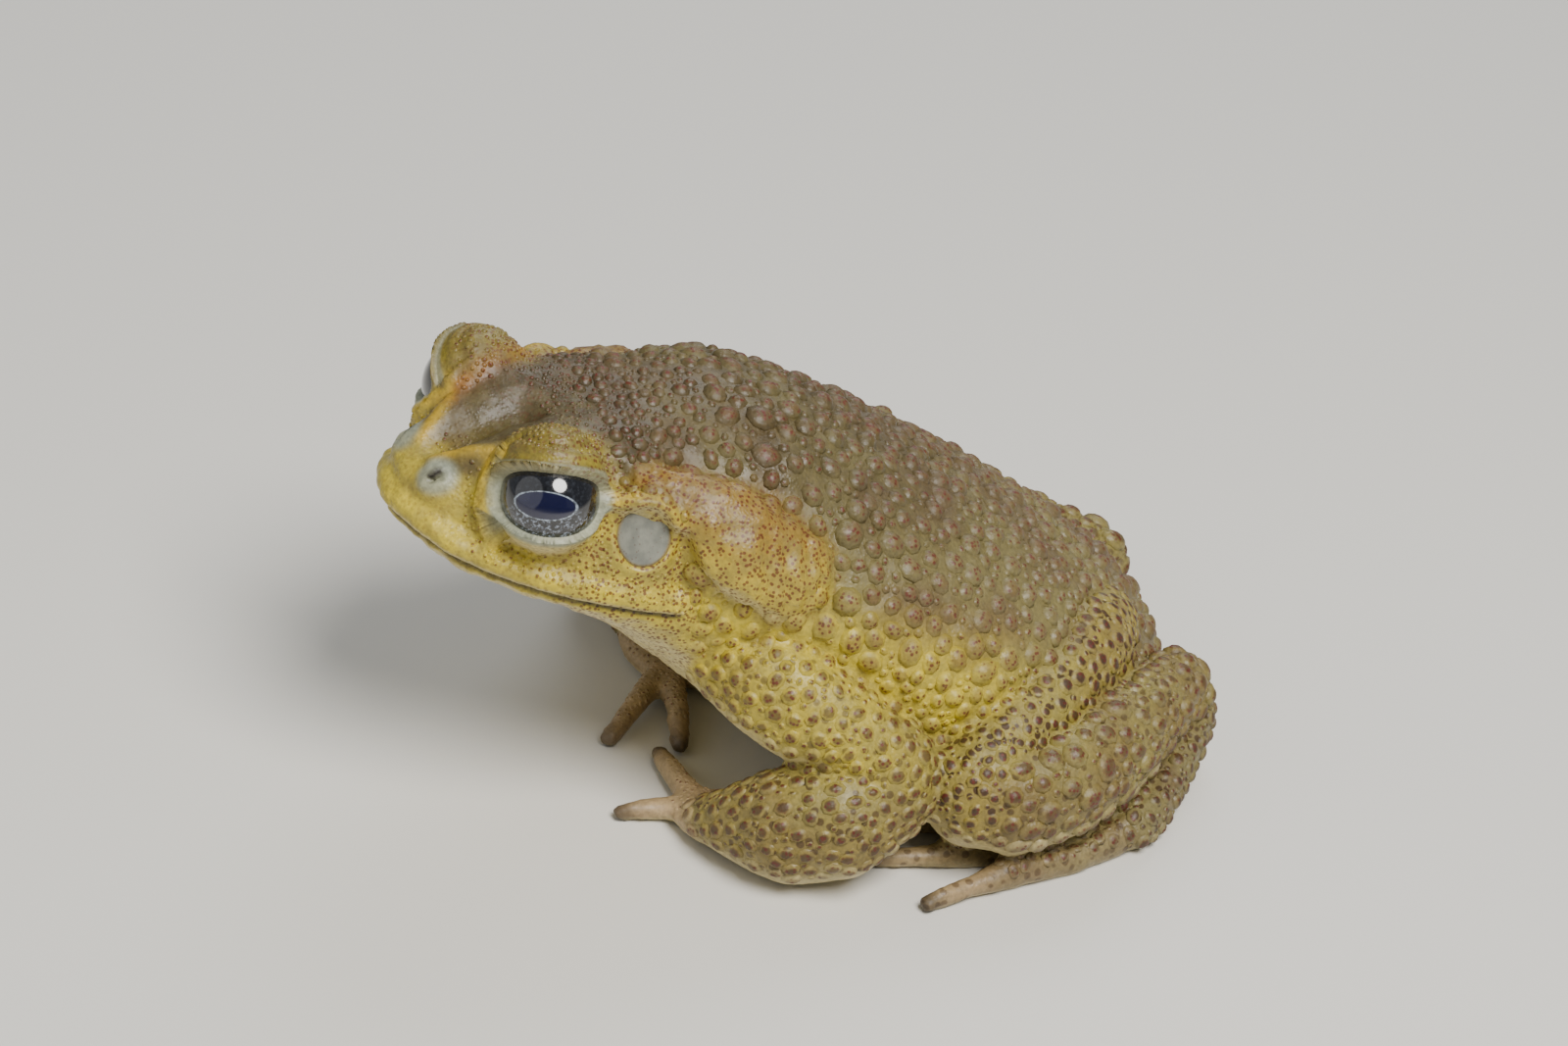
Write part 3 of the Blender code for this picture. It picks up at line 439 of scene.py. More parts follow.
def deepen_creases(mesh, parts, settings):
    """Sink the skin where limbs fold on each other and on the body, and fill out what lies between."""
    points = points_of(mesh)
    normals = normals_of(mesh)
    mean = neighbours_mean(edges_of(mesh), len(points))
    soft = points.copy()
    for _ in range(24):
        soft += (mean(soft) - soft) * 0.7
    hollow = ((soft - points) * normals).sum(1)[:, None]
    for _ in range(6):
        hollow = mean(hollow)
    hollow = hollow[:, 0]
    share = shares_of(parts, mean, 4)
    border = sum(depth * 4.0 * share[one] * share[other] for one, other, depth in FOLDS)
    sink = hollow.clip(-0.25, 1.2) * 0.9 + border * smooth_step(hollow, -0.12, 0.15) * 0.8
    points -= normals * (sink * settings.relief)[:, None]
    points[:, 2] = points[:, 2].clip(0.0)
    put_points(mesh, points)


def fill_feet(mesh, parts):
    """Give the ankles and feet, behind their toes, the photo's fuller flesh."""
    points = points_of(mesh)
    normals = normals_of(mesh)
    foot = np.isin(parts, [PARTS.index("ankle"), PARTS.index("foot")])
    to_tip = np.min([np.linalg.norm(points - np.array(tip), axis=1) for tip in TOE_TIPS], axis=0)
    points += normals * (foot * smooth_step(to_tip, 6.0, 16.0) * 0.8)[:, None]
    points[:, 2] = points[:, 2].clip(0.0)
    put_points(mesh, points)


def make_skin(settings):
    """One closed skin over all the flesh, finest on the head."""
    solid = bpy.data.objects.new("skin_core", joined_copy(sorted(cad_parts)))
    bpy.context.scene.collection.objects.link(solid)
    grid = solid.modifiers.new("grid", "REMESH")
    grid.mode = "VOXEL"
    grid.voxel_size = settings.grain * MM
    graph = bpy.context.evaluated_depsgraph_get()
    mesh = bpy.data.meshes.new_from_object(solid.evaluated_get(graph))
    mesh.name = "skin"
    bpy.data.objects.remove(solid, do_unlink=True)
    keep_largest(mesh)

    parts = part_of_points(points_of(mesh))
    softness = np.array([{"head": 0.35, "hand": 0.12, "foot": 0.12, "eye": 0.3, "eardrum": 0.3}.get(part, 0.5)
                         for part in PARTS])[parts]
    relax(mesh, softness, 15)
    fill_feet(mesh, parts)
    deepen_creases(mesh, parts, settings)
    relax(mesh, softness * 0.6, 2)

    centres = face_centres(mesh)
    on_head = (centres[:, 1] < -33.0) & (centres[:, 2] > 37.0)
    refine(mesh, on_head)
    relax(mesh, np.where(points_of(mesh)[:, 1] < -32.0, 0.4, 0.0), 3)
    for _ in range(1):
        centres = face_centres(mesh)
        rim = np.zeros(len(centres), bool)
        for side in (1.0, -1.0):
            share, distance, _ = opening_share(centres, side)
            rim |= (distance < 11.0) & (share > 0.8) & (share < 1.2)
        refine(mesh, rim)
    make_uneven(mesh, part_of_points(points_of(mesh)))
    sculpt_head(mesh, settings)
    open_eyes(mesh, settings)
    sink_drums(mesh)
    return mesh


def sink_drums(mesh):
    """Sink the skin under each eardrum and raise a soft rim round it."""
    points = points_of(mesh)
    for side in (1.0, -1.0):
        centre, outward, across, up = drum_frame(side)
        away = points - centre
        share = np.hypot(away @ across / 3.9, away @ up / 4.6)
        near = np.linalg.norm(away, axis=1) < 9.0
        change = near * (bell(share - 1.12, 0.16) * 0.5 - (1 - smooth_step(share, 0.8, 1.02)) * 0.9)
        points += outward * change[:, None]
    put_points(mesh, points)


def masks_of(points, normals, parts, mean):
    """How yellow, rusty, dusky, pale, spotted, tan, dark, dotted and grey the skin is at each point. The dark is the
    toe tips' own colour, and painted shade in the nostril slits and along the mouth line.
    """
    x, y, z = np.abs(points[:, 0]), points[:, 1], points[:, 2]
    share = shares_of(parts, mean, 7)
    head = share["head"] + share["lower_jaw"] + share["eye"] + share["eardrum"]
    high = height_over_axis(points)
    lip = z - mouth_height(points)
    ridges = np.zeros(len(points))
    grey = np.zeros(len(points))
    dark = np.zeros(len(points))
    band = np.zeros(len(points))
    dome = np.zeros(len(points))
    for side in (1.0, -1.0):
        for line, radius, amount in (
            (CANTHAL_RIDGE, 1.0, 0.9), (PREORBITAL_RIDGE, 1.0, 0.9), (BROW_RIDGE, 1.0, 0.3), (DRUM_RIDGE, 1.2, 0.8),
        ):
            ridges = np.maximum(ridges, amount * bell(distance_to_line(points, mirrored(line, side)), radius))
        spot = np.array((NOSTRIL.x * side, NOSTRIL.y, NOSTRIL.z))
        to_nostril = np.linalg.norm((points - spot) * np.array((1.0, 0.9, 1.25)), axis=1)
        grey = np.maximum(grey, 0.8 * (1 - smooth_step(to_nostril, 2.0, 3.9)))
        # The sunk nostril slit is painted dark: painted shade in the opening.
        slit = laid_on(points, mirrored(NOSTRIL_SLIT, side))
        dark = np.maximum(dark, (1.3 * bell(distance_to_line(points, slit), 0.7)).clip(0, 1))
        opening, distance, _ = opening_share(points, side)
        centre, forward, across, up = eye_frame(side)
        above = (points - centre) @ up
        near = 1 - smooth_step(distance, 8.1, 9.0)
        below = 1 - smooth_step(above, 0.5, 3.5)
        grey = np.maximum(grey, near * (1 - smooth_step(opening, 1.05, 1.1 + 0.08 * below)) * (0.5 + 0.4 * below))
        band = np.maximum(band, near * bell(opening - 1.28, 0.12) * (1 - below))
        over_eye = np.linalg.norm(points - np.array((14.2 * side, -50.5, 56.6)), axis=1)
        dome = np.maximum(dome, (1 - smooth_step(over_eye, 9.0, 11.0)) * smooth_step(x, 7.5, 10.0))
    # A dark line along the mouth: painted shade in the sunk groove between the lips.
    mouth = bell(lip, 0.45) * (1 - smooth_step(y, -34.0, -31.5)) * smooth_step(np.abs(normals[:, 2]), 1.0, 0.8)
    dark = np.maximum(dark, mouth * 0.85)

    face = head * (1 - smooth_step(z, 53.0, 59.0))
    lips = head * (1 - smooth_step(lip, 3.0, 6.0))
    crown = head * smooth_step(z, 53.8, 56.0) * (1 - smooth_step(x, 9.0, 11.5)) * smooth_step(y, -65.0, -61.0)
    crown = np.maximum(crown, head * smooth_step(y, -45.0, -39.0) * smooth_step(z, 55.0, 59.0))
    crown = crown * (1 - dome * 0.8)
    crest = bell(distance_to_line(points, mirrored(LID_CREST, 1.0)), 1.8)
    crest = np.maximum(crest, bell(distance_to_line(points, mirrored(LID_CREST, -1.0)), 1.8) * 0.2)
    flank = share["torso"] * (1 - smooth_step(high, 0.0, 13.0)) * (1 - smooth_step(y, 6.0, 30.0))
    yellow = (0.66 * face + 0.34 * lips) * (1 - 0.8 * crown) + ridges * head * 0.9
    yellow = yellow + flank + band * 0.8 + dome * 0.22
    yellow = yellow + share["upper_arm"] * (0.7 - 0.4 * smooth_step(y, -14.0, 6.0))
    yellow = yellow + 0.22 * share["forearm"] + 0.3 * share["thigh"] + 0.12 * share["shank"]
    gland_top = smooth_step(z + 0.25 * (y + 20.0), 43.0, 53.0)
    yellow = yellow + share["parotoid"] * (0.8 - 0.55 * gland_top)
    rust = ridges * head * 0.35 + share["parotoid"] * (0.08 + 0.16 * gland_top)
    rust = np.maximum(rust, head * 0.5 * bell(distance_to_line(points, mirrored(BROW_RIDGE, -1.0)), 1.6))
    dusk = crown * 0.85 + crest * head * 0.75 + dome * head * smooth_step(z, 57.5, 61.5) * 0.65
    dusk = dusk + share["torso"] * smooth_step(high, 8.0, 24.0) * (0.62 - 0.3 * smooth_step(y, -10.0, 40.0))
    dusk = dusk + share["parotoid"] * gland_top * 0.5
    under = smooth_step(-normals[:, 2], 0.15, 0.75)
    pale = under * (1 - share["foot"] * 0.4 - share["ankle"] * 0.4)
    pale = np.maximum(pale, 0.6 * share["torso"] * (1 - smooth_step(high, -16.0, -8.0)))
    spotted = share["upper_arm"] * 0.6 + share["forearm"] * 0.8 + share["thigh"] + share["shank"] * 0.6
    spotted = (spotted + 0.9 * share["ankle"] + 0.6 * share["foot"]) * (1 - under)
    to_tip = np.min([np.linalg.norm(points - np.array(tip), axis=1) for tip in TOE_TIPS], axis=0)
    tan = share["hand"] * 0.9 + share["foot"] * (0.15 + 0.5 * (1 - smooth_step(to_tip, 4.0, 14.0)))
    for tip in FINGER_TIPS + TOE_TIPS:
        dark = np.maximum(dark, 0.85 * bell(np.linalg.norm(points - np.array(tip), axis=1), 2.4))
    dotted = share["parotoid"] + 0.75 * head * smooth_step(y, -56.0, -44.0) + 0.25 * head
    dotted = dotted * (1 - grey) * (1 - 0.6 * crown)
    return {
        "zone_a": np.stack([yellow, rust, dusk], 1).clip(0, 1),
        "zone_b": np.stack([pale, spotted, tan], 1).clip(0, 1),
        "zone_c": np.stack([dark, dotted, grey], 1).clip(0, 1),
    }


def put_attribute(mesh, name, values):
    """Store three values at each point of a mesh."""
    layer = mesh.attributes.new(name, "FLOAT_VECTOR", "POINT")
    layer.data.foreach_set("vector", np.ascontiguousarray(values, np.float32).ravel())


def smooth_shaded(mesh):
    """Shade every face smooth."""
    mesh.polygons.foreach_set("use_smooth", np.ones(len(mesh.polygons), bool))
    mesh.update()


def unwrapped_guide(skin):
    """A light copy of the skin with an unwrap, and a tree to look places up on it."""
    guide = bpy.data.objects.new("guide", skin.copy())
    bpy.context.scene.collection.objects.link(guide)
    fewer = guide.modifiers.new("fewer", "DECIMATE")
    fewer.ratio = 0.04
    graph = bpy.context.evaluated_depsgraph_get()
    light = bpy.data.meshes.new_from_object(guide.evaluated_get(graph))
    guide.modifiers.clear()
    guide.data = light
    light.uv_layers.new(name="OFBake")
    bpy.context.view_layer.objects.active = guide
    bpy.ops.object.select_all(action="DESELECT")
    guide.select_set(True)
    bpy.ops.object.mode_set(mode="EDIT")
    bpy.ops.mesh.select_all(action="SELECT")
    bpy.ops.uv.smart_project(angle_limit=math.radians(60.0), island_margin=0.004)
    bpy.ops.object.mode_set(mode="OBJECT")
    body = bmesh.new()
    body.from_mesh(guide.data)
    bmesh.ops.triangulate(body, faces=body.faces)
    body.faces.ensure_lookup_table()
    bpy.data.objects.remove(guide, do_unlink=True)
    return body, BVHTree.FromBMesh(body)


def place_on_unwrap(guide, point):
    """Where a point of the skin, in millimetres, is on the unwrap."""
    body, tree = guide
    spot, _, index, _ = tree.find_nearest(Vector(point) * MM)
    loops = body.faces[index].loops
    layer = body.loops.layers.uv["OFBake"]
    corners = [loop.vert.co for loop in loops]
    flat = [loop[layer].uv.to_3d() for loop in loops]
    area = (corners[1] - corners[0]).cross(corners[2] - corners[0]).length
    if area < 1e-14:
        return np.array(flat[0][:2])
    weights = [(corners[k - 2] - spot).cross(corners[k - 1] - spot).length / area for k in range(3)]
    return np.array(sum((weights[k] * flat[k] for k in range(3)), Vector())[:2]) / max(sum(weights), 1e-6)


class SkinPlaces:
    """The finished skin as arrays: points, directions, markings and random places on it."""

    def __init__(self, mesh, settings):
        mesh.calc_loop_triangles()
        corners = np.empty(len(mesh.loop_triangles) * 3, np.int32)
        mesh.loop_triangles.foreach_get("vertices", corners)
        self.corners = corners.reshape(-1, 3)
        self.points = points_of(mesh)
        self.normals = normals_of(mesh)
        self.parts = part_of_points(self.points)
        self.mean = neighbours_mean(edges_of(mesh), len(self.points))
        self.masks = masks_of(self.points, self.normals, self.parts, self.mean)
        a, b, c = (self.points[self.corners[:, k]] for k in range(3))
        self.areas = np.linalg.norm(np.cross(b - a, c - a), axis=1) / 2

    def scatter(self, count, seed):
        """Random places: the triangle of each and its weights."""
        draw = np.random.default_rng(seed)
        chosen = draw.choice(len(self.areas), count, p=self.areas / self.areas.sum())
        share = draw.random((count, 2))
        over = share.sum(1) > 1.0
        share[over] = 1.0 - share[over]
        weights = np.column_stack([1.0 - share.sum(1), share])
        return self.corners[chosen], weights


def at_places(values, corners, weights):
    """Values of the skin's points at places on its triangles."""
    return (values[corners] * weights[:, :, None]).sum(1)


def wart_zones(points, normals, parts):
    """For each place: how large its warts are and how far apart, in millimetres, and how long. 0 where none grow."""
    y, z = points[:, 1], points[:, 2]
    high = height_over_axis(points)
    size = np.zeros(len(points))
    tall = np.full(len(points), 0.55)

    def on(name):
        return parts == PARTS.index(name)

    size[on("torso")] = 1.75
    size[on("torso") & (high < 4.0)] = 1.35
    size[on("torso") & (y < -24.0) & (np.abs(points[:, 0]) < 12)] = 1.2
    size[on("torso") & (high < -9.0)] = 0.0
    size[on("upper_arm")] = 1.2
    size[on("forearm")] = 1.15
    size[on("thigh")] = 1.25
    size[on("thigh") & (z < 26.0) & (y < 22.0)] = 1.0
    size[on("shank")] = 1.6
    size[on("ankle")] = 1.15
    to_tip = np.min([np.linalg.norm(points - np.array(tip), axis=1) for tip in TOE_TIPS], axis=0)
    size[on("foot")] = 0.7
    size[on("foot") & (to_tip > 13.0)] = 1.0
    size[on("hand")] = 0.5
    tall[on("upper_arm") | on("forearm") | on("thigh")] = 0.42
    tall[on("foot") | on("hand")] = 0.4
    size[(on("foot") | on("hand")) & (z < 3.5)] = 0.0
    face = on("head") | on("lower_jaw")
    lip = z - mouth_height(points)
    size[face] = 0.6
    size[face & (z > 56.0) & (y < -42.0)] = 0.88
    size[face & (z > 56.0) & (np.abs(points[:, 0]) < 7.0) & (y < -46.0)] = 0.0
    size[face & (y > -40.0) & (z > 52.0)] = 0.95
    size[face & (lip < 2.2) & (y < -34.0)] = 0.0
    size[face & (lip < 0.0)] = 0.0
    size[face & (y < -60.5)] = 0.0
    size[on("parotoid")] = 0.0
    size[on("eye") | on("eardrum")] = 0.0
    size[(normals[:, 2] < -0.45) | (z < 1.4)] = 0.0
    for side in (1.0, -1.0):
        opening, distance, _ = opening_share(points, side)
        size[(distance < 10.5) & (opening < 1.32)] = 0.0
        centre, outward, across, up = drum_frame(side)
        away = points - centre
        size[(np.linalg.norm(away, axis=1) < 9.0) & (np.hypot(away @ across / 3.9, away @ up / 4.6) < 1.35)] = 0.0
        for line in (CANTHAL_RIDGE, PREORBITAL_RIDGE):
            size[distance_to_line(points, mirrored(line, side)) < 1.4] = 0.0
        size[np.linalg.norm(points - np.array((NOSTRIL.x * side, NOSTRIL.y, NOSTRIL.z)), axis=1) < 4.5] = 0.0
    return size, tall


def spread_out(points, radii, taken, apart):
    """Indices of places kept so that none is closer to another than their radii allow."""
    cell = 2.0 * max(radii.max(), max((r for _, r in taken), default=0.0)) * apart
    grid = {}
    for place, radius in taken:
        grid.setdefault(tuple((place // cell).astype(int)), []).append((place, radius))
    kept = []
    around = [(i, j, k) for i in (-1, 0, 1) for j in (-1, 0, 1) for k in (-1, 0, 1)]
    for index, (place, radius) in enumerate(zip(points, radii)):
        home = (place // cell).astype(int)
        close = False
        for step in around:
            for other, reach in grid.get((home[0] + step[0], home[1] + step[1], home[2] + step[2]), ()):
                gap = place - other
                if gap @ gap < ((radius + reach) * apart) ** 2:
                    close = True
                    break
            if close:
                break
        if not close:
            grid.setdefault(tuple(home), []).append((place, radius))
            taken.append((place, radius))
            kept.append(index)
    return np.array(kept, int)


def wart_shape(steps, profile):
    """One wart of radius 1 and height 1 as a closed solid turned from a profile."""
    body = bmesh.new()
    spine = [body.verts.new((radius, 0.0, height)) for radius, height in profile]
    edges = [body.edges.new(pair) for pair in zip(spine[:-1], spine[1:])]
    bmesh.ops.spin(
        body, geom=spine + edges, axis=(0, 0, 1), cent=(0, 0, 0), angle=math.tau, steps=steps, use_merge=True,
    )
    bmesh.ops.remove_doubles(body, verts=body.verts, dist=1e-5)
    rim = [edge for edge in body.edges if edge.is_boundary]
    bmesh.ops.contextual_create(body, geom=rim)
    bmesh.ops.recalc_face_normals(body, faces=body.faces)
    mesh = bpy.data.meshes.new("wart_shape")
    body.to_mesh(mesh)
    body.free()
    return mesh


LARGE_PROFILE = ((1.16, -1.1), (1.12, -0.12), (0.94, 0.26), (0.68, 0.68), (0.34, 0.93), (0.0, 1.0))
SMALL_PROFILE = ((1.15, -1.0), (1.02, 0.0), (0.62, 0.7), (0.0, 1.0))


def make_warts(name, places, guide, taken, plan, settings):
    """One piece of many warts: template copies set on the skin at random places that keep apart."""
    corners, weights = places.scatter(plan["tries"], plan["seed"] + settings.wart_seed)
    draw = np.random.default_rng(plan["seed"] + settings.wart_seed + 100)
    points = at_places(places.points, corners, weights)
    normals = at_places(places.normals, corners, weights)
    normals /= np.linalg.norm(normals, axis=1)[:, None].clip(1e-6)
    parts = places.parts[corners[:, 0]]
    size, tall = wart_zones(points, normals, parts)
    spread = draw.uniform(*plan["spread"], len(size))
    limb = np.isin(parts, [PARTS.index(name) for name in ("upper_arm", "forearm", "thigh", "ankle", "foot")])
    spread = np.where(limb, 1.0 + (spread - 1.0) * 0.45, spread)
    radii = size * plan["size"] * spread
    radii = np.where(size > 0, radii.clip(plan["smallest"], 2.3), 0.0)
    keep = size > plan["zones_over"]
    order = np.flatnonzero(keep)
    chosen = order[spread_out(points[order], radii[order], taken, plan["apart"])]

    template = wart_shape(plan["steps"], plan["profile"])
    shape = points_of(template) * MM
    count, each = len(chosen), len(shape)
    normal = normals[chosen]
    along = np.cross(normal, np.array((0.31, 0.9, 0.29)))
    along /= np.linalg.norm(along, axis=1)[:, None]
    beside = np.cross(normal, along)
    turn = draw.uniform(0, math.tau, count)
    leg = np.isin(parts[chosen], [PARTS.index("shank"), PARTS.index("forearm")])
    turn = np.where(leg, math.pi / 2, turn)
    first = along * np.cos(turn)[:, None] + beside * np.sin(turn)[:, None]
    second = np.cross(normal, first)
    stretch = draw.uniform(0.9, 1.15, count) * np.where(leg, 1.08, 1.0)
    radius = radii[chosen]
    high = radius * tall[chosen] * draw.uniform(0.8, 1.25, count) * settings.wart_height
    wobble = 1.0 + 0.1 * draw.standard_normal((count, each))
    wobble[:, shape[:, 2] < 0.05] = 1.0
    out = (
        points[chosen][:, None, :]
        + first[:, None, :] * (shape[None, :, 0] * wobble * (radius * stretch)[:, None])[:, :, None]
        + second[:, None, :] * (shape[None, :, 1] * wobble * (radius / stretch)[:, None])[:, :, None]
        + normal[:, None, :] * (shape[None, :, 2] * high[:, None])[:, :, None]
    ).reshape(-1, 3)
    out[:, 2] = out[:, 2].clip(0.0)

    faces = [tuple(face.vertices) for face in template.polygons]
    lengths = np.array([len(face) for face in faces])
    flat = np.concatenate([np.array(face) for face in faces])
    mesh = bpy.data.meshes.new(name)
    mesh.vertices.add(count * each)
    mesh.vertices.foreach_set("co", (out * MM).ravel())
    mesh.loops.add(count * len(flat))
    mesh.loops.foreach_set("vertex_index", (flat[None, :] + each * np.arange(count)[:, None]).ravel().astype(np.int32))
    starts = np.concatenate([[0], np.cumsum(lengths)[:-1]])
    mesh.polygons.add(count * len(faces))
    mesh.polygons.foreach_set(
        "loop_start", (starts[None, :] + len(flat) * np.arange(count)[:, None]).ravel().astype(np.int32),
    )
    mesh.update(calc_edges=True)
    mesh.validate()

    for key, values in places.masks.items():
        put_attribute(mesh, key, np.repeat(at_places(values, corners[chosen], weights[chosen]), each, axis=0))
    tip = np.tile(smooth_step(shape[:, 2], 0.0, 1.0), count)
    chance = np.repeat(draw.random(count), each)
    big = np.repeat(smooth_step(radius, 0.5, 1.4), each)
    put_attribute(mesh, "wart", np.column_stack([tip, chance, big]))
    spots = np.array([place_on_unwrap(guide, point) for point in points[chosen]])
    patch = shape[:, :2] * 0.0012
    layer = mesh.uv_layers.new(name="OFBake")
    uv = (spots[:, None, :] + patch[None, flat, :]).reshape(-1, 2)
    layer.data.foreach_set("uv", uv.astype(np.float32).ravel())
    smooth_shaded(mesh)
    bpy.data.meshes.remove(template)
    return mesh


WART_PLANS = {
    "large_warts": {
        "tries": 48000, "seed": 3, "size": 1.0, "spread": (0.72, 1.25), "smallest": 0.6, "zones_over": 0.9,
        "apart": 0.97, "steps": 8, "profile": LARGE_PROFILE,
    },
    "small_warts": {
        "tries": 60000, "seed": 5, "size": 0.5, "spread": (0.7, 1.1), "smallest": 0.34, "zones_over": 0.4,
        "apart": 0.98, "steps": 6, "profile": SMALL_PROFILE,
    },
}


def eyeball(side):
    """A wet eyeball that remembers, at each point, where it is from the pupil's middle."""
    body = bmesh.new()
    bmesh.ops.create_uvsphere(body, u_segments=72, v_segments=48, radius=EYEBALL_RADIUS * MM)
    centre, forward, across, up = pupil_frame(side)
    turn = Matrix((across, up, forward)).transposed()
    bmesh.ops.transform(body, matrix=Matrix.Translation(Vector(centre) * MM) @ turn.to_4x4(), verts=body.verts)
    bmesh.ops.recalc_face_normals(body, faces=body.faces)
    mesh = bpy.data.meshes.new("eyeball")
    body.to_mesh(mesh)
    body.free()
    away = points_of(mesh) - centre
    put_attribute(mesh, "pupil", np.column_stack([away @ across, away @ up, away @ forward]) / EYEBALL_RADIUS)
    smooth_shaded(mesh)
    return mesh


PUPIL_AXIS = Vector((0.80, -0.48, 0.36)).normalized()
PUPIL_TILT = math.radians(3.0)


def pupil_frame(side):
    """Centre, forward, across and up directions of an eye, with the pupil's slight tilt."""
    forward = np.array((PUPIL_AXIS.x * side, PUPIL_AXIS.y, PUPIL_AXIS.z))
    level = np.array((-PUPIL_AXIS.y * side, PUPIL_AXIS.x, 0.0))
    level /= np.linalg.norm(level)
    rise = np.cross(forward, level)
    rise *= np.sign(rise[2])
    across = level * math.cos(PUPIL_TILT) + rise * math.sin(PUPIL_TILT)
    up = rise * math.cos(PUPIL_TILT) - level * math.sin(PUPIL_TILT)
    return np.array((EYE_CENTRE.x * side, EYE_CENTRE.y, EYE_CENTRE.z)), forward, across, up


def eardrum(side):
    """A thin, slightly domed disc."""
    centre, outward, across, up = drum_frame(side)
    name = "eardrum_left" if side > 0 else "eardrum_right"
    level = ((points_of(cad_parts[name].data) - centre) @ outward).max()
    body = bmesh.new()
    profile = ((0.0, 0.0), (1.3, -0.02), (2.4, -0.1), (3.3, -0.3), (3.9, -0.75), (3.7, -1.6), (0.0, -1.9))
    spine = [body.verts.new((radius, 0.0, height)) for radius, height in profile]
    edges = [body.edges.new(pair) for pair in zip(spine[:-1], spine[1:])]
    bmesh.ops.spin(
        body, geom=spine + edges, axis=(0, 0, 1), cent=(0, 0, 0), angle=math.tau, steps=40, use_merge=True,
    )
    bmesh.ops.remove_doubles(body, verts=body.verts, dist=1e-5)
    turn = Matrix((across, up, outward)).transposed().to_4x4()
    tall = Matrix.Diagonal((1.0, 4.55 / 3.9, 1.0, 1.0))
    lift = Matrix.Translation(Vector(centre + outward * (level - 0.15)) * MM)
    bmesh.ops.transform(body, matrix=lift @ turn @ Matrix.Scale(MM, 4) @ tall, verts=body.verts)
    bmesh.ops.recalc_face_normals(body, faces=body.faces)
    mesh = bpy.data.meshes.new("eardrum_disc")
    body.to_mesh(mesh)
    body.free()
    away = points_of(mesh) - centre
    put_attribute(mesh, "disc", np.column_stack([away @ across / 3.9, away @ up / 4.55, away @ outward]))
    smooth_shaded(mesh)
    return mesh


# Shader helpers

def screen(red, green, blue):
    """A colour from 8-bit screen values."""
    def linear(value):
        value /= 255
        return value / 12.92 if value <= 0.04045 else ((value + 0.055) / 1.055) ** 2.4
    return (linear(red), linear(green), linear(blue), 1.0)


def add(tree, kind, inputs=None, **settings):
    """Add a shader node with its settings, and values or links for its inputs."""
    node = tree.nodes.new(kind)
    for key, value in settings.items():
        setattr(node, key, value)
    for key, value in (inputs or {}).items():
        if isinstance(value, bpy.types.NodeSocket):
            tree.links.new(value, node.inputs[key])
        else:
            node.inputs[key].default_value = value
    return node


def blend(tree, share, first, second, how="MIX"):
    """Blend two colours by a share."""
    node = add(tree, "ShaderNodeMix", {0: share, 6: first, 7: second}, data_type="RGBA", blend_type=how)
    return node.outputs[2]


def sums(tree, how, first, second=0.0):
    """One step of arithmetic, kept between 0 and 1."""
    return add(tree, "ShaderNodeMath", {0: first, 1: second}, operation=how, use_clamp=True).outputs[0]


def fade(tree, value, low, high, start=0.0, end=1.0):
    """A smooth rise from `start` at `low` to `end` at `high`."""
    return add(
        tree, "ShaderNodeMapRange",
        {"Value": value, "From Min": low, "From Max": high, "To Min": start, "To Max": end},
        interpolation_type="SMOOTHSTEP",
    ).outputs[0]


def noise(tree, where, scale, detail=3.0, rough=0.55):
    """Soft random values; scale is in features a metre."""
    return add(
        tree, "ShaderNodeTexNoise", {"Vector": where, "Scale": scale, "Detail": detail, "Roughness": rough},
    ).outputs[0]


def cells(tree, where, scale, random=1.0):
    """Distance to the nearest of many scattered points."""
    return add(
        tree, "ShaderNodeTexVoronoi", {"Vector": where, "Scale": scale, "Randomness": random},
    ).outputs["Distance"]


def new_group(name, inputs, outputs):
    """An empty shader group with named sockets."""
    group = bpy.data.node_groups.new(name, "ShaderNodeTree")
    for title, kind in inputs:
        group.interface.new_socket(name=title, in_out="INPUT", socket_type=kind)
    for title, kind in outputs:
        group.interface.new_socket(name=title, in_out="OUTPUT", socket_type=kind)
    return group, group.nodes.new("NodeGroupInput").outputs, group.nodes.new("NodeGroupOutput").inputs


GREEN_OLIVE = screen(114, 104, 62)
BROWN_OLIVE = screen(98, 82, 52)
YELLOW = screen(190, 170, 42)
RUST = screen(150, 74, 20)
DUSK = screen(52, 42, 18)
PALE = screen(200, 186, 136)
GREY_BLUE = screen(140, 148, 134)
TAN = screen(178, 152, 114)
TIP_BROWN = screen(92, 60, 28)
SPOT_BROWN = screen(56, 32, 10)
DOT_BROWN = screen(84, 22, 8)
# Dark brown of the toe tips, also used as painted shade in the nostril slits and along the mouth line
DARK = screen(26, 18, 12)
IRIS_BLACK = screen(4, 5, 12)
FLECK_SILVER = screen(140, 150, 166)
RING_SILVER = screen(160, 172, 186)
PUPIL_NAVY = screen(5, 8, 44)
DRUM_GREY = screen(106, 108, 100)
DRUM_PALE = screen(128, 129, 118)
DRUM_RIM = screen(160, 132, 70)
PAPER = screen(214, 212, 206)


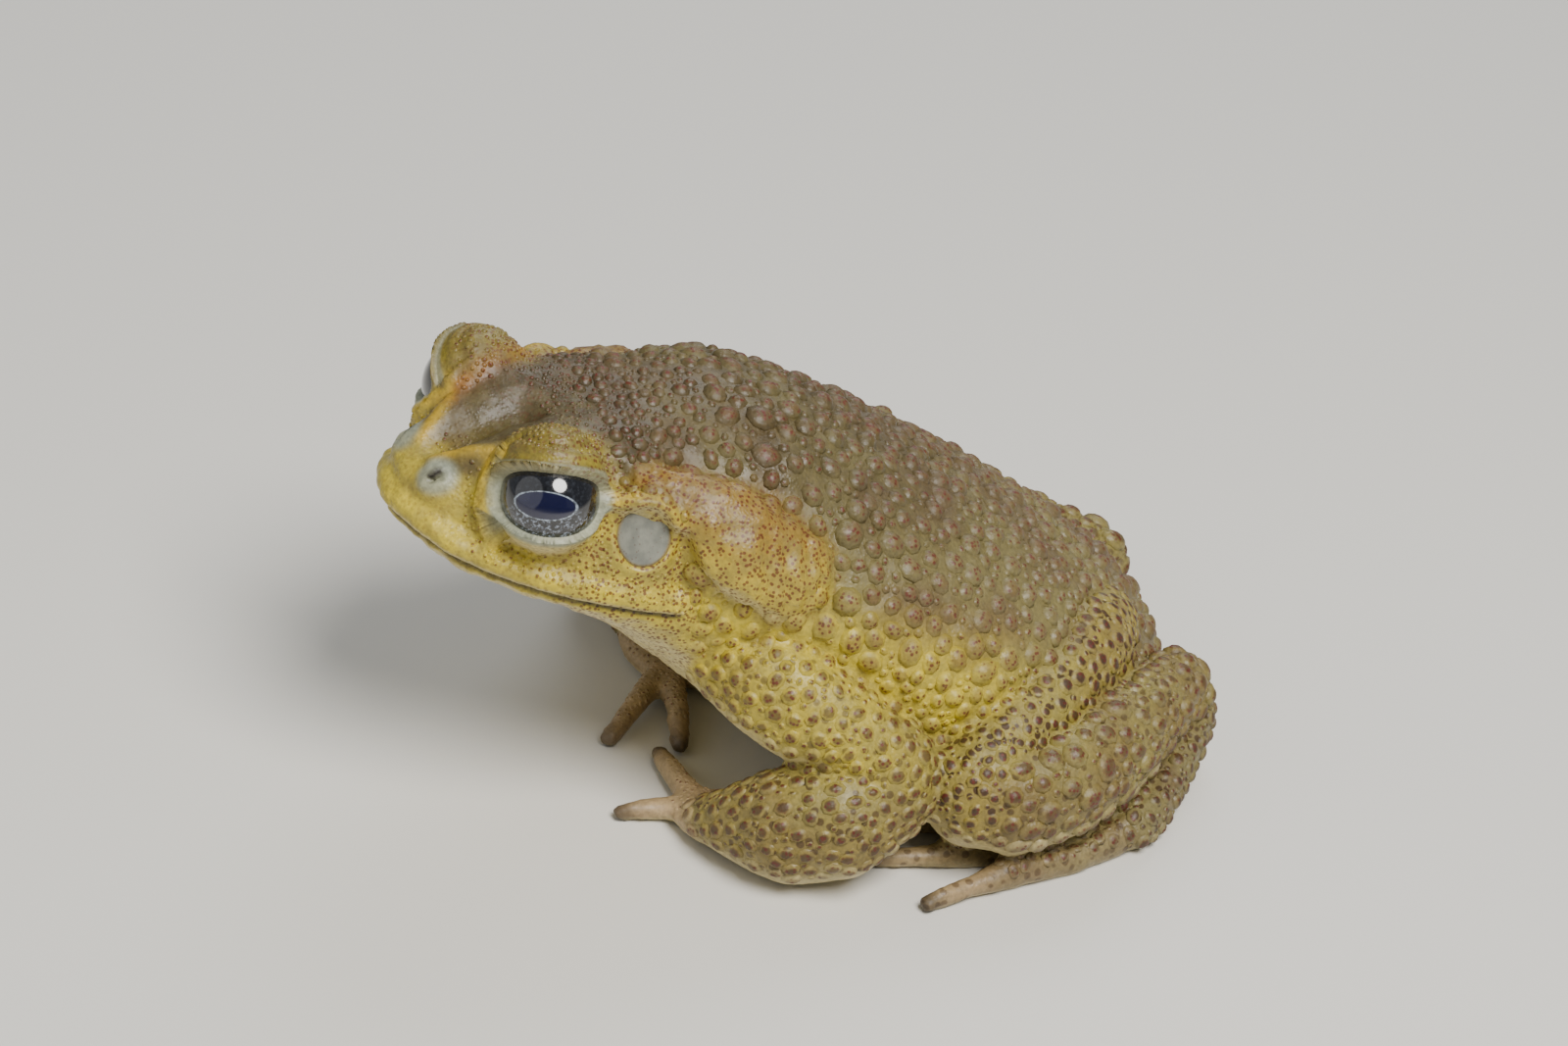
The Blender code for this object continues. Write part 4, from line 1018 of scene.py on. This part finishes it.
def toad_markings(settings):
    """Colour, wetness and fine relief of the toad's skin from where a point is and the zones stored at it."""
    group, given, made = new_group(
        "toad markings",
        [("Where", "NodeSocketVector"), ("Zone A", "NodeSocketVector"), ("Zone B", "NodeSocketVector"),
         ("Zone C", "NodeSocketVector"), ("Wart", "NodeSocketVector")],
        [("Colour", "NodeSocketColor"), ("Roughness", "NodeSocketFloat"), ("Height", "NodeSocketFloat")],
    )
    where = given["Where"]
    yellow, rust, dusk = add(group, "ShaderNodeSeparateXYZ", {0: given["Zone A"]}).outputs
    pale, spotted, tan = add(group, "ShaderNodeSeparateXYZ", {0: given["Zone B"]}).outputs
    dark, dotted, grey = add(group, "ShaderNodeSeparateXYZ", {0: given["Zone C"]}).outputs
    tip, chance, big = add(group, "ShaderNodeSeparateXYZ", {0: given["Wart"]}).outputs
    broad = noise(group, where, 70.0, 4.0)
    patchy = noise(group, where, 260.0, 4.0)
    fine = noise(group, where, 1500.0, 3.0)

    def varied(zone, amount=0.5):
        low = sums(group, "MULTIPLY", fade(group, patchy, 0.35, 0.65), amount)
        return sums(group, "MULTIPLY", zone, sums(group, "SUBTRACT", 1.0 + 0.0, low))

    colour = blend(group, fade(group, broad, 0.38, 0.62), tuple(settings.olive), tuple(settings.brown))
    colour = blend(group, varied(dusk, 0.35), colour, tuple(settings.crown))
    colour = blend(group, varied(yellow, 0.4), colour, tuple(settings.yellow))
    colour = blend(group, varied(tan, 0.3), colour, TAN)
    colour = blend(group, varied(rust, 0.5), colour, RUST)
    colour = blend(group, varied(pale, 0.2), colour, PALE)
    colour = blend(group, varied(grey, 0.15), colour, GREY_BLUE)

    top = fade(group, tip, 0.4, 0.9)
    browned = sums(group, "MULTIPLY", top, fade(group, chance, 0.0, 1.0, 0.15, 0.5))
    colour = blend(group, sums(group, "MULTIPLY", browned, fade(group, big, 0.0, 1.0, 0.4, 1.0)), colour, TIP_BROWN)
    bare = fade(group, tip, 0.4, 0.0)
    spots = sums(group, "MULTIPLY", fade(group, cells(group, where, 520.0, 0.7), 0.36, 0.26), bare)
    peak = fade(group, sums(group, "ADD", tip, sums(group, "MULTIPLY", patchy, 0.16)), 0.78, 0.98)
    spots = sums(group, "MULTIPLY", sums(group, "MAXIMUM", spots, peak), sums(group, "MULTIPLY", spotted, 0.95))
    colour = blend(group, spots, colour, SPOT_BROWN)
    speckled = sums(group, "MAXIMUM", sums(group, "MULTIPLY", dotted, 0.8), sums(group, "MULTIPLY", top, 0.85))
    dots = sums(group, "MULTIPLY", fade(group, cells(group, where, 1500.0), 0.44, 0.3), speckled)
    colour = blend(group, dots, colour, DOT_BROWN)
    # Dark of the toe tips, and painted shade in the nostril slits and along the mouth line
    colour = blend(group, dark, colour, DARK)
    tone = fade(group, fine, 0.3, 0.7, 0.82, 1.12)
    colour = blend(group, 1.0, colour, add(group, "ShaderNodeCombineColor", {0: tone, 1: tone, 2: tone}).outputs[0],
                   "MULTIPLY")
    group.links.new(colour, made["Colour"])
    rough = sums(group, "SUBTRACT", fade(group, patchy, 0.3, 0.7, 0.43, 0.6), sums(group, "MULTIPLY", dotted, 0.04))
    group.links.new(rough, made["Roughness"])
    grain = fade(group, cells(group, where, 1700.0), 0.0, 0.6, 1.0, 0.0)
    height = sums(group, "ADD", sums(group, "MULTIPLY", grain, 0.6), sums(group, "MULTIPLY", fine, 0.4))
    group.links.new(height, made["Height"])
    return group


def attribute(tree, name):
    """The stored values of a named attribute."""
    return add(tree, "ShaderNodeAttribute", attribute_name=name).outputs["Vector"]


def new_material(name, **constants):
    """A material with one surface shader and its fixed values."""
    material = bpy.data.materials.new(name)
    material.use_nodes = True
    tree = material.node_tree
    surface = tree.nodes["Principled BSDF"]
    for key, value in constants.items():
        surface.inputs[key.replace("_", " ").title().replace("Ior", "IOR")].default_value = value
    return material, tree, surface


def skin_material(markings):
    """Wet, finely grained toad skin."""
    material, tree, surface = new_material("toad skin", coat_weight=0.05, coat_roughness=0.25)
    where = add(tree, "ShaderNodeTexCoord").outputs["Object"]
    group = add(
        tree, "ShaderNodeGroup", node_tree=markings,
    )
    for title, source in (
        ("Where", where), ("Zone A", attribute(tree, "zone_a")), ("Zone B", attribute(tree, "zone_b")),
        ("Zone C", attribute(tree, "zone_c")), ("Wart", attribute(tree, "wart")),
    ):
        tree.links.new(source, group.inputs[title])
    tree.links.new(group.outputs["Colour"], surface.inputs["Base Color"])
    tree.links.new(group.outputs["Roughness"], surface.inputs["Roughness"])
    bump = add(tree, "ShaderNodeBump", {"Height": group.outputs["Height"], "Strength": 0.4, "Distance": 0.0002})
    tree.links.new(bump.outputs[0], surface.inputs["Normal"])
    return material


def iris_pattern(settings):
    """A dark iris with silver flecks that thin out towards the top, partly as painted shade of the upper lid, a thin
    silver ring and a wide level pupil.
    """
    group, given, made = new_group(
        "toad iris", [("From pupil", "NodeSocketVector")], [("Colour", "NodeSocketColor")],
    )
    across, up, _ = add(group, "ShaderNodeSeparateXYZ", {0: given["From pupil"]}).outputs
    where = given["From pupil"]
    wide = add(group, "ShaderNodeMath", {0: across, 1: settings.pupil_width}, operation="DIVIDE").outputs[0]
    high = add(group, "ShaderNodeMath", {0: up, 1: settings.pupil_height}, operation="DIVIDE").outputs[0]
    flat = add(group, "ShaderNodeCombineXYZ", {0: wide, 1: high}).outputs[0]
    reach = add(group, "ShaderNodeVectorMath", {0: flat}, operation="LENGTH").outputs["Value"]
    flecks = noise(group, where, 14.0, 6.0, 0.7)
    # Flecks grow sparse towards the top: partly their own spread, partly painted shade of the hooding upper lid over
    # the eyeball's top
    lower = fade(group, up, 0.1, -0.4, 0.06, 0.9)
    silver = sums(group, "MULTIPLY", fade(group, flecks, 0.5, 0.64), lower)
    colour = blend(group, silver, IRIS_BLACK, FLECK_SILVER)
    ring = sums(group, "MULTIPLY", fade(group, reach, 1.0, 1.04), fade(group, reach, 1.13, 1.07))
    colour = blend(group, sums(group, "MULTIPLY", ring, fade(group, flecks, 0.38, 0.6, 0.15, 0.8)), colour,
                   RING_SILVER)
    colour = blend(group, fade(group, reach, 1.05, 0.97), colour, tuple(settings.pupil))
    group.links.new(colour, made["Colour"])
    return group


def eye_material(iris):
    """A wet, glassy eye."""
    material, tree, surface = new_material("wet eye", roughness=0.12, coat_weight=1.0, coat_roughness=0.02)
    group = add(tree, "ShaderNodeGroup", node_tree=iris)
    tree.links.new(attribute(tree, "pupil"), group.inputs["From pupil"])
    tree.links.new(group.outputs["Colour"], surface.inputs["Base Color"])
    return material


def drum_material():
    """The smooth grey-brown skin of an eardrum."""
    material, tree, surface = new_material("eardrum skin", roughness=0.34, coat_weight=0.2, coat_roughness=0.2)
    where = add(tree, "ShaderNodeTexCoord").outputs["Object"]
    group, given, made = new_group(
        "eardrum markings", [("Where", "NodeSocketVector"), ("Disc", "NodeSocketVector")],
        [("Colour", "NodeSocketColor"), ("Height", "NodeSocketFloat")],
    )
    across, up, _ = add(group, "ShaderNodeSeparateXYZ", {0: given["Disc"]}).outputs
    flat = add(group, "ShaderNodeCombineXYZ", {0: across, 1: up}).outputs[0]
    reach = add(group, "ShaderNodeVectorMath", {0: flat}, operation="LENGTH").outputs["Value"]
    soft = noise(group, given["Where"], 420.0, 4.0)
    colour = blend(group, fade(group, soft, 0.35, 0.65), DRUM_GREY, DRUM_PALE)
    colour = blend(group, fade(group, reach, 0.82, 1.05), colour, DRUM_RIM)
    dots = fade(group, cells(group, given["Where"], 1500.0), 0.22, 0.12, 0.0, 0.4)
    colour = blend(group, dots, colour, DOT_BROWN)
    group.links.new(colour, made["Colour"])
    group.links.new(noise(group, given["Where"], 1600.0, 3.0), made["Height"])
    node = add(tree, "ShaderNodeGroup", node_tree=group)
    tree.links.new(where, node.inputs["Where"])
    tree.links.new(attribute(tree, "disc"), node.inputs["Disc"])
    tree.links.new(node.outputs["Colour"], surface.inputs["Base Color"])
    bump = add(tree, "ShaderNodeBump", {"Height": node.outputs["Height"], "Strength": 0.3, "Distance": 0.0002})
    tree.links.new(bump.outputs[0], surface.inputs["Normal"])
    return material


class ToadSettings(PropertyGroup):
    """Measures that the builder of the toad reads."""

    grain: FloatProperty(
        name="Grain", description="Size of the grid that the skin is made on, in millimetres", default=0.88,
        min=0.5, max=3.0,
    )
    relief: FloatProperty(
        name="Relief", description="How strongly ridges and folds stand out", default=1.0, min=0.0, max=3.0,
        subtype="FACTOR",
    )
    wart_height: FloatProperty(
        name="Wart height", description="How tall warts are against the usual", default=1.0, min=0.2, max=2.0,
        subtype="FACTOR",
    )
    wart_seed: IntProperty(
        name="Wart seed", description="Changes where the warts fall", default=0, min=0, max=1000,
    )
    olive: FloatVectorProperty(
        name="Olive", description="Greener ground colour of the back", default=GREEN_OLIVE, size=4, subtype="COLOR",
        min=0.0, max=1.0,
    )
    brown: FloatVectorProperty(
        name="Brown", description="Browner ground colour of the back", default=BROWN_OLIVE, size=4, subtype="COLOR",
        min=0.0, max=1.0,
    )
    yellow: FloatVectorProperty(
        name="Yellow", description="Colour of the face and flanks", default=YELLOW, size=4, subtype="COLOR",
        min=0.0, max=1.0,
    )
    crown: FloatVectorProperty(
        name="Crown", description="Dark colour of the crown and nape", default=DUSK, size=4, subtype="COLOR",
        min=0.0, max=1.0,
    )


class ToadEyeSettings(PropertyGroup):
    """Measures of the eyes."""

    pupil_width: FloatProperty(
        name="Pupil width", description="Half width of the pupil against the eyeball's radius", default=0.58,
        min=0.1, max=0.9, subtype="FACTOR",
    )
    pupil_height: FloatProperty(
        name="Pupil height", description="Half height of the pupil against the eyeball's radius", default=0.265,
        min=0.05, max=0.9, subtype="FACTOR",
    )
    pupil: FloatVectorProperty(
        name="Pupil", description="Colour of the pupil", default=PUPIL_NAVY, size=4, subtype="COLOR", min=0.0, max=1.0,
    )


def material_named(name, maker):
    """A material made once and then shared."""
    return bpy.data.materials.get(name) or maker()


class TOAD_OT_skin(Operator):
    """Make the toad's one skin and its warts"""

    bl_idname = "toad.skin"
    bl_label = "Skin and warts"

    def execute(self, context):
        settings = context.scene.toad
        mesh = make_skin(settings)
        places = SkinPlaces(mesh, settings)
        for name, values in places.masks.items():
            put_attribute(mesh, name, values)
        smooth_shaded(mesh)
        material = material_named("toad skin", lambda: skin_material(toad_markings(settings)))
        mesh.materials.append(material)
        show("skin", mesh, FLESH)
        guide = unwrapped_guide(mesh)
        taken = []
        for name, plan in WART_PLANS.items():
            warts = make_warts(name, places, guide, taken, plan, settings)
            warts.materials.append(material)
            show(name, warts)
        guide[0].free()
        if not context.scene.objects.get("skin"):
            raise RuntimeError("the skin was not made")
        return {"FINISHED"}


class TOAD_OT_eyes(Operator):
    """Make the two wet eyes and the two eardrums"""

    bl_idname = "toad.eyes"
    bl_label = "Eyes and eardrums"

    def execute(self, context):
        eye = material_named("wet eye", lambda: eye_material(iris_pattern(context.scene.toad_eyes)))
        drum = material_named("eardrum skin", drum_material)
        for side, name in ((1.0, "left"), (-1.0, "right")):
            ball = eyeball(side)
            ball.materials.append(eye)
            show(f"eyeball_{name}", ball, [f"eye_{name}"])
            disc = eardrum(side)
            disc.materials.append(drum)
            show(f"eardrum_disc_{name}", disc, [f"eardrum_{name}"])
        return {"FINISHED"}


def plain_material(name, colour, roughness):
    """A plain studio surface."""
    material, _, surface = new_material(name, roughness=roughness)
    surface.inputs["Base Color"].default_value = colour
    return material


def soft_light(name, place, power, size, colour=(1.0, 1.0, 1.0)):
    """A soft lamp aimed at the toad."""
    lamp = bpy.data.lights.new(name, "AREA")
    lamp.energy = power
    lamp.shape = "DISK"
    lamp.size = size
    lamp.color = colour
    thing = bpy.data.objects.new(name, lamp)
    bpy.context.scene.collection.objects.link(thing)
    thing.location = place
    aim = Vector((0.0, 0.0, 0.03)) - Vector(place)
    thing.rotation_euler = aim.to_track_quat("-Z", "Y").to_euler()
    return thing


class TOAD_OT_stage(Operator):
    """Set the plain floor and backdrop, the soft lamps and the camera"""

    bl_idname = "toad.stage"
    bl_label = "Studio and camera"

    def execute(self, context):
        body = bmesh.new()
        near = [body.verts.new((x, 1.6, 0.0)) for x in (2.4, -2.4)]
        edge = body.edges.new(near)
        steps = [(0.0, -2.6, 0.0)] + [(0.0, -0.04 * k, 0.012 * k) for k in range(1, 9)] + [(0.0, -0.05, 3.2)]
        geometry = [edge, *near]
        for step in steps:
            made = bmesh.ops.extrude_edge_only(body, edges=[g for g in geometry if isinstance(g, bmesh.types.BMEdge)])
            geometry = made["geom"]
            points = [g for g in geometry if isinstance(g, bmesh.types.BMVert)]
            bmesh.ops.translate(body, verts=points, vec=step)
        turn = math.atan2(VIEW_BACK.y, VIEW_BACK.x) + math.pi / 2
        bmesh.ops.rotate(body, verts=body.verts, cent=(0, 0, 0), matrix=Matrix.Rotation(turn, 3, "Z"))
        bmesh.ops.recalc_face_normals(body, faces=body.faces)
        mesh = bpy.data.meshes.new("studio")
        body.to_mesh(mesh)
        body.free()
        smooth_shaded(mesh)
        mesh.materials.append(plain_material("studio paper", PAPER, 0.9))
        studio = bpy.data.objects.new("studio", mesh)
        context.scene.collection.objects.link(studio)
        soft_light("key", (0.42, 0.02, 0.7), 10.0, 0.42, (1.0, 0.97, 0.92))
        soft_light("fill", (0.1, -0.9, 0.4), 2.5, 1.3)
        soft_light("back", (-0.5, 0.35, 0.6), 2.2, 0.5, (0.92, 0.96, 1.0))
        world = bpy.data.worlds.get("studio air") or bpy.data.worlds.new("studio air")
        world.use_nodes = True
        world.node_tree.nodes["Background"].inputs[0].default_value = (0.8, 0.82, 0.85, 1.0)
        world.node_tree.nodes["Background"].inputs[1].default_value = 0.3
        context.scene.world = world
        lens = bpy.data.cameras.new("view")
        lens.lens = VIEW_LENS
        lens.sensor_width = 36.0
        camera = bpy.data.objects.new("view", lens)
        context.scene.collection.objects.link(camera)
        turn = Matrix((VIEW_RIGHT, VIEW_UP, VIEW_BACK)).transposed().to_4x4()
        camera.matrix_world = Matrix.Translation(VIEW_PLACE * MM) @ turn
        context.scene.camera = camera
        return {"FINISHED"}


class TOAD_PT_panel(Panel):
    """The toad's settings and its makers in the sidebar"""

    bl_label = "Cane toad"
    bl_idname = "TOAD_PT_panel"
    bl_space_type = "VIEW_3D"
    bl_region_type = "UI"
    bl_category = "Toad"

    def draw(self, context):
        for name in ("grain", "relief", "wart_height", "wart_seed", "olive", "brown", "yellow", "crown"):
            self.layout.prop(context.scene.toad, name)
        for name in ("pupil_width", "pupil_height", "pupil"):
            self.layout.prop(context.scene.toad_eyes, name)
        for maker in (TOAD_OT_skin, TOAD_OT_eyes, TOAD_OT_stage):
            self.layout.operator(maker.bl_idname)


CLASSES = (ToadSettings, ToadEyeSettings, TOAD_OT_skin, TOAD_OT_eyes, TOAD_OT_stage, TOAD_PT_panel)


def register():
    """Make the toad's classes known to Blender."""
    for item in CLASSES:
        bpy.utils.register_class(item)
    bpy.types.Scene.toad = PointerProperty(type=ToadSettings)
    bpy.types.Scene.toad_eyes = PointerProperty(type=ToadEyeSettings)


def unregister():
    """Take the toad's classes out of Blender."""
    del bpy.types.Scene.toad_eyes
    del bpy.types.Scene.toad
    for item in reversed(CLASSES):
        bpy.utils.unregister_class(item)


def main():
    """Build every piece in order."""
    register()
    bpy.ops.toad.skin()
    bpy.ops.toad.eyes()
    bpy.ops.toad.stage()


if __name__ == "__main__":
    main()
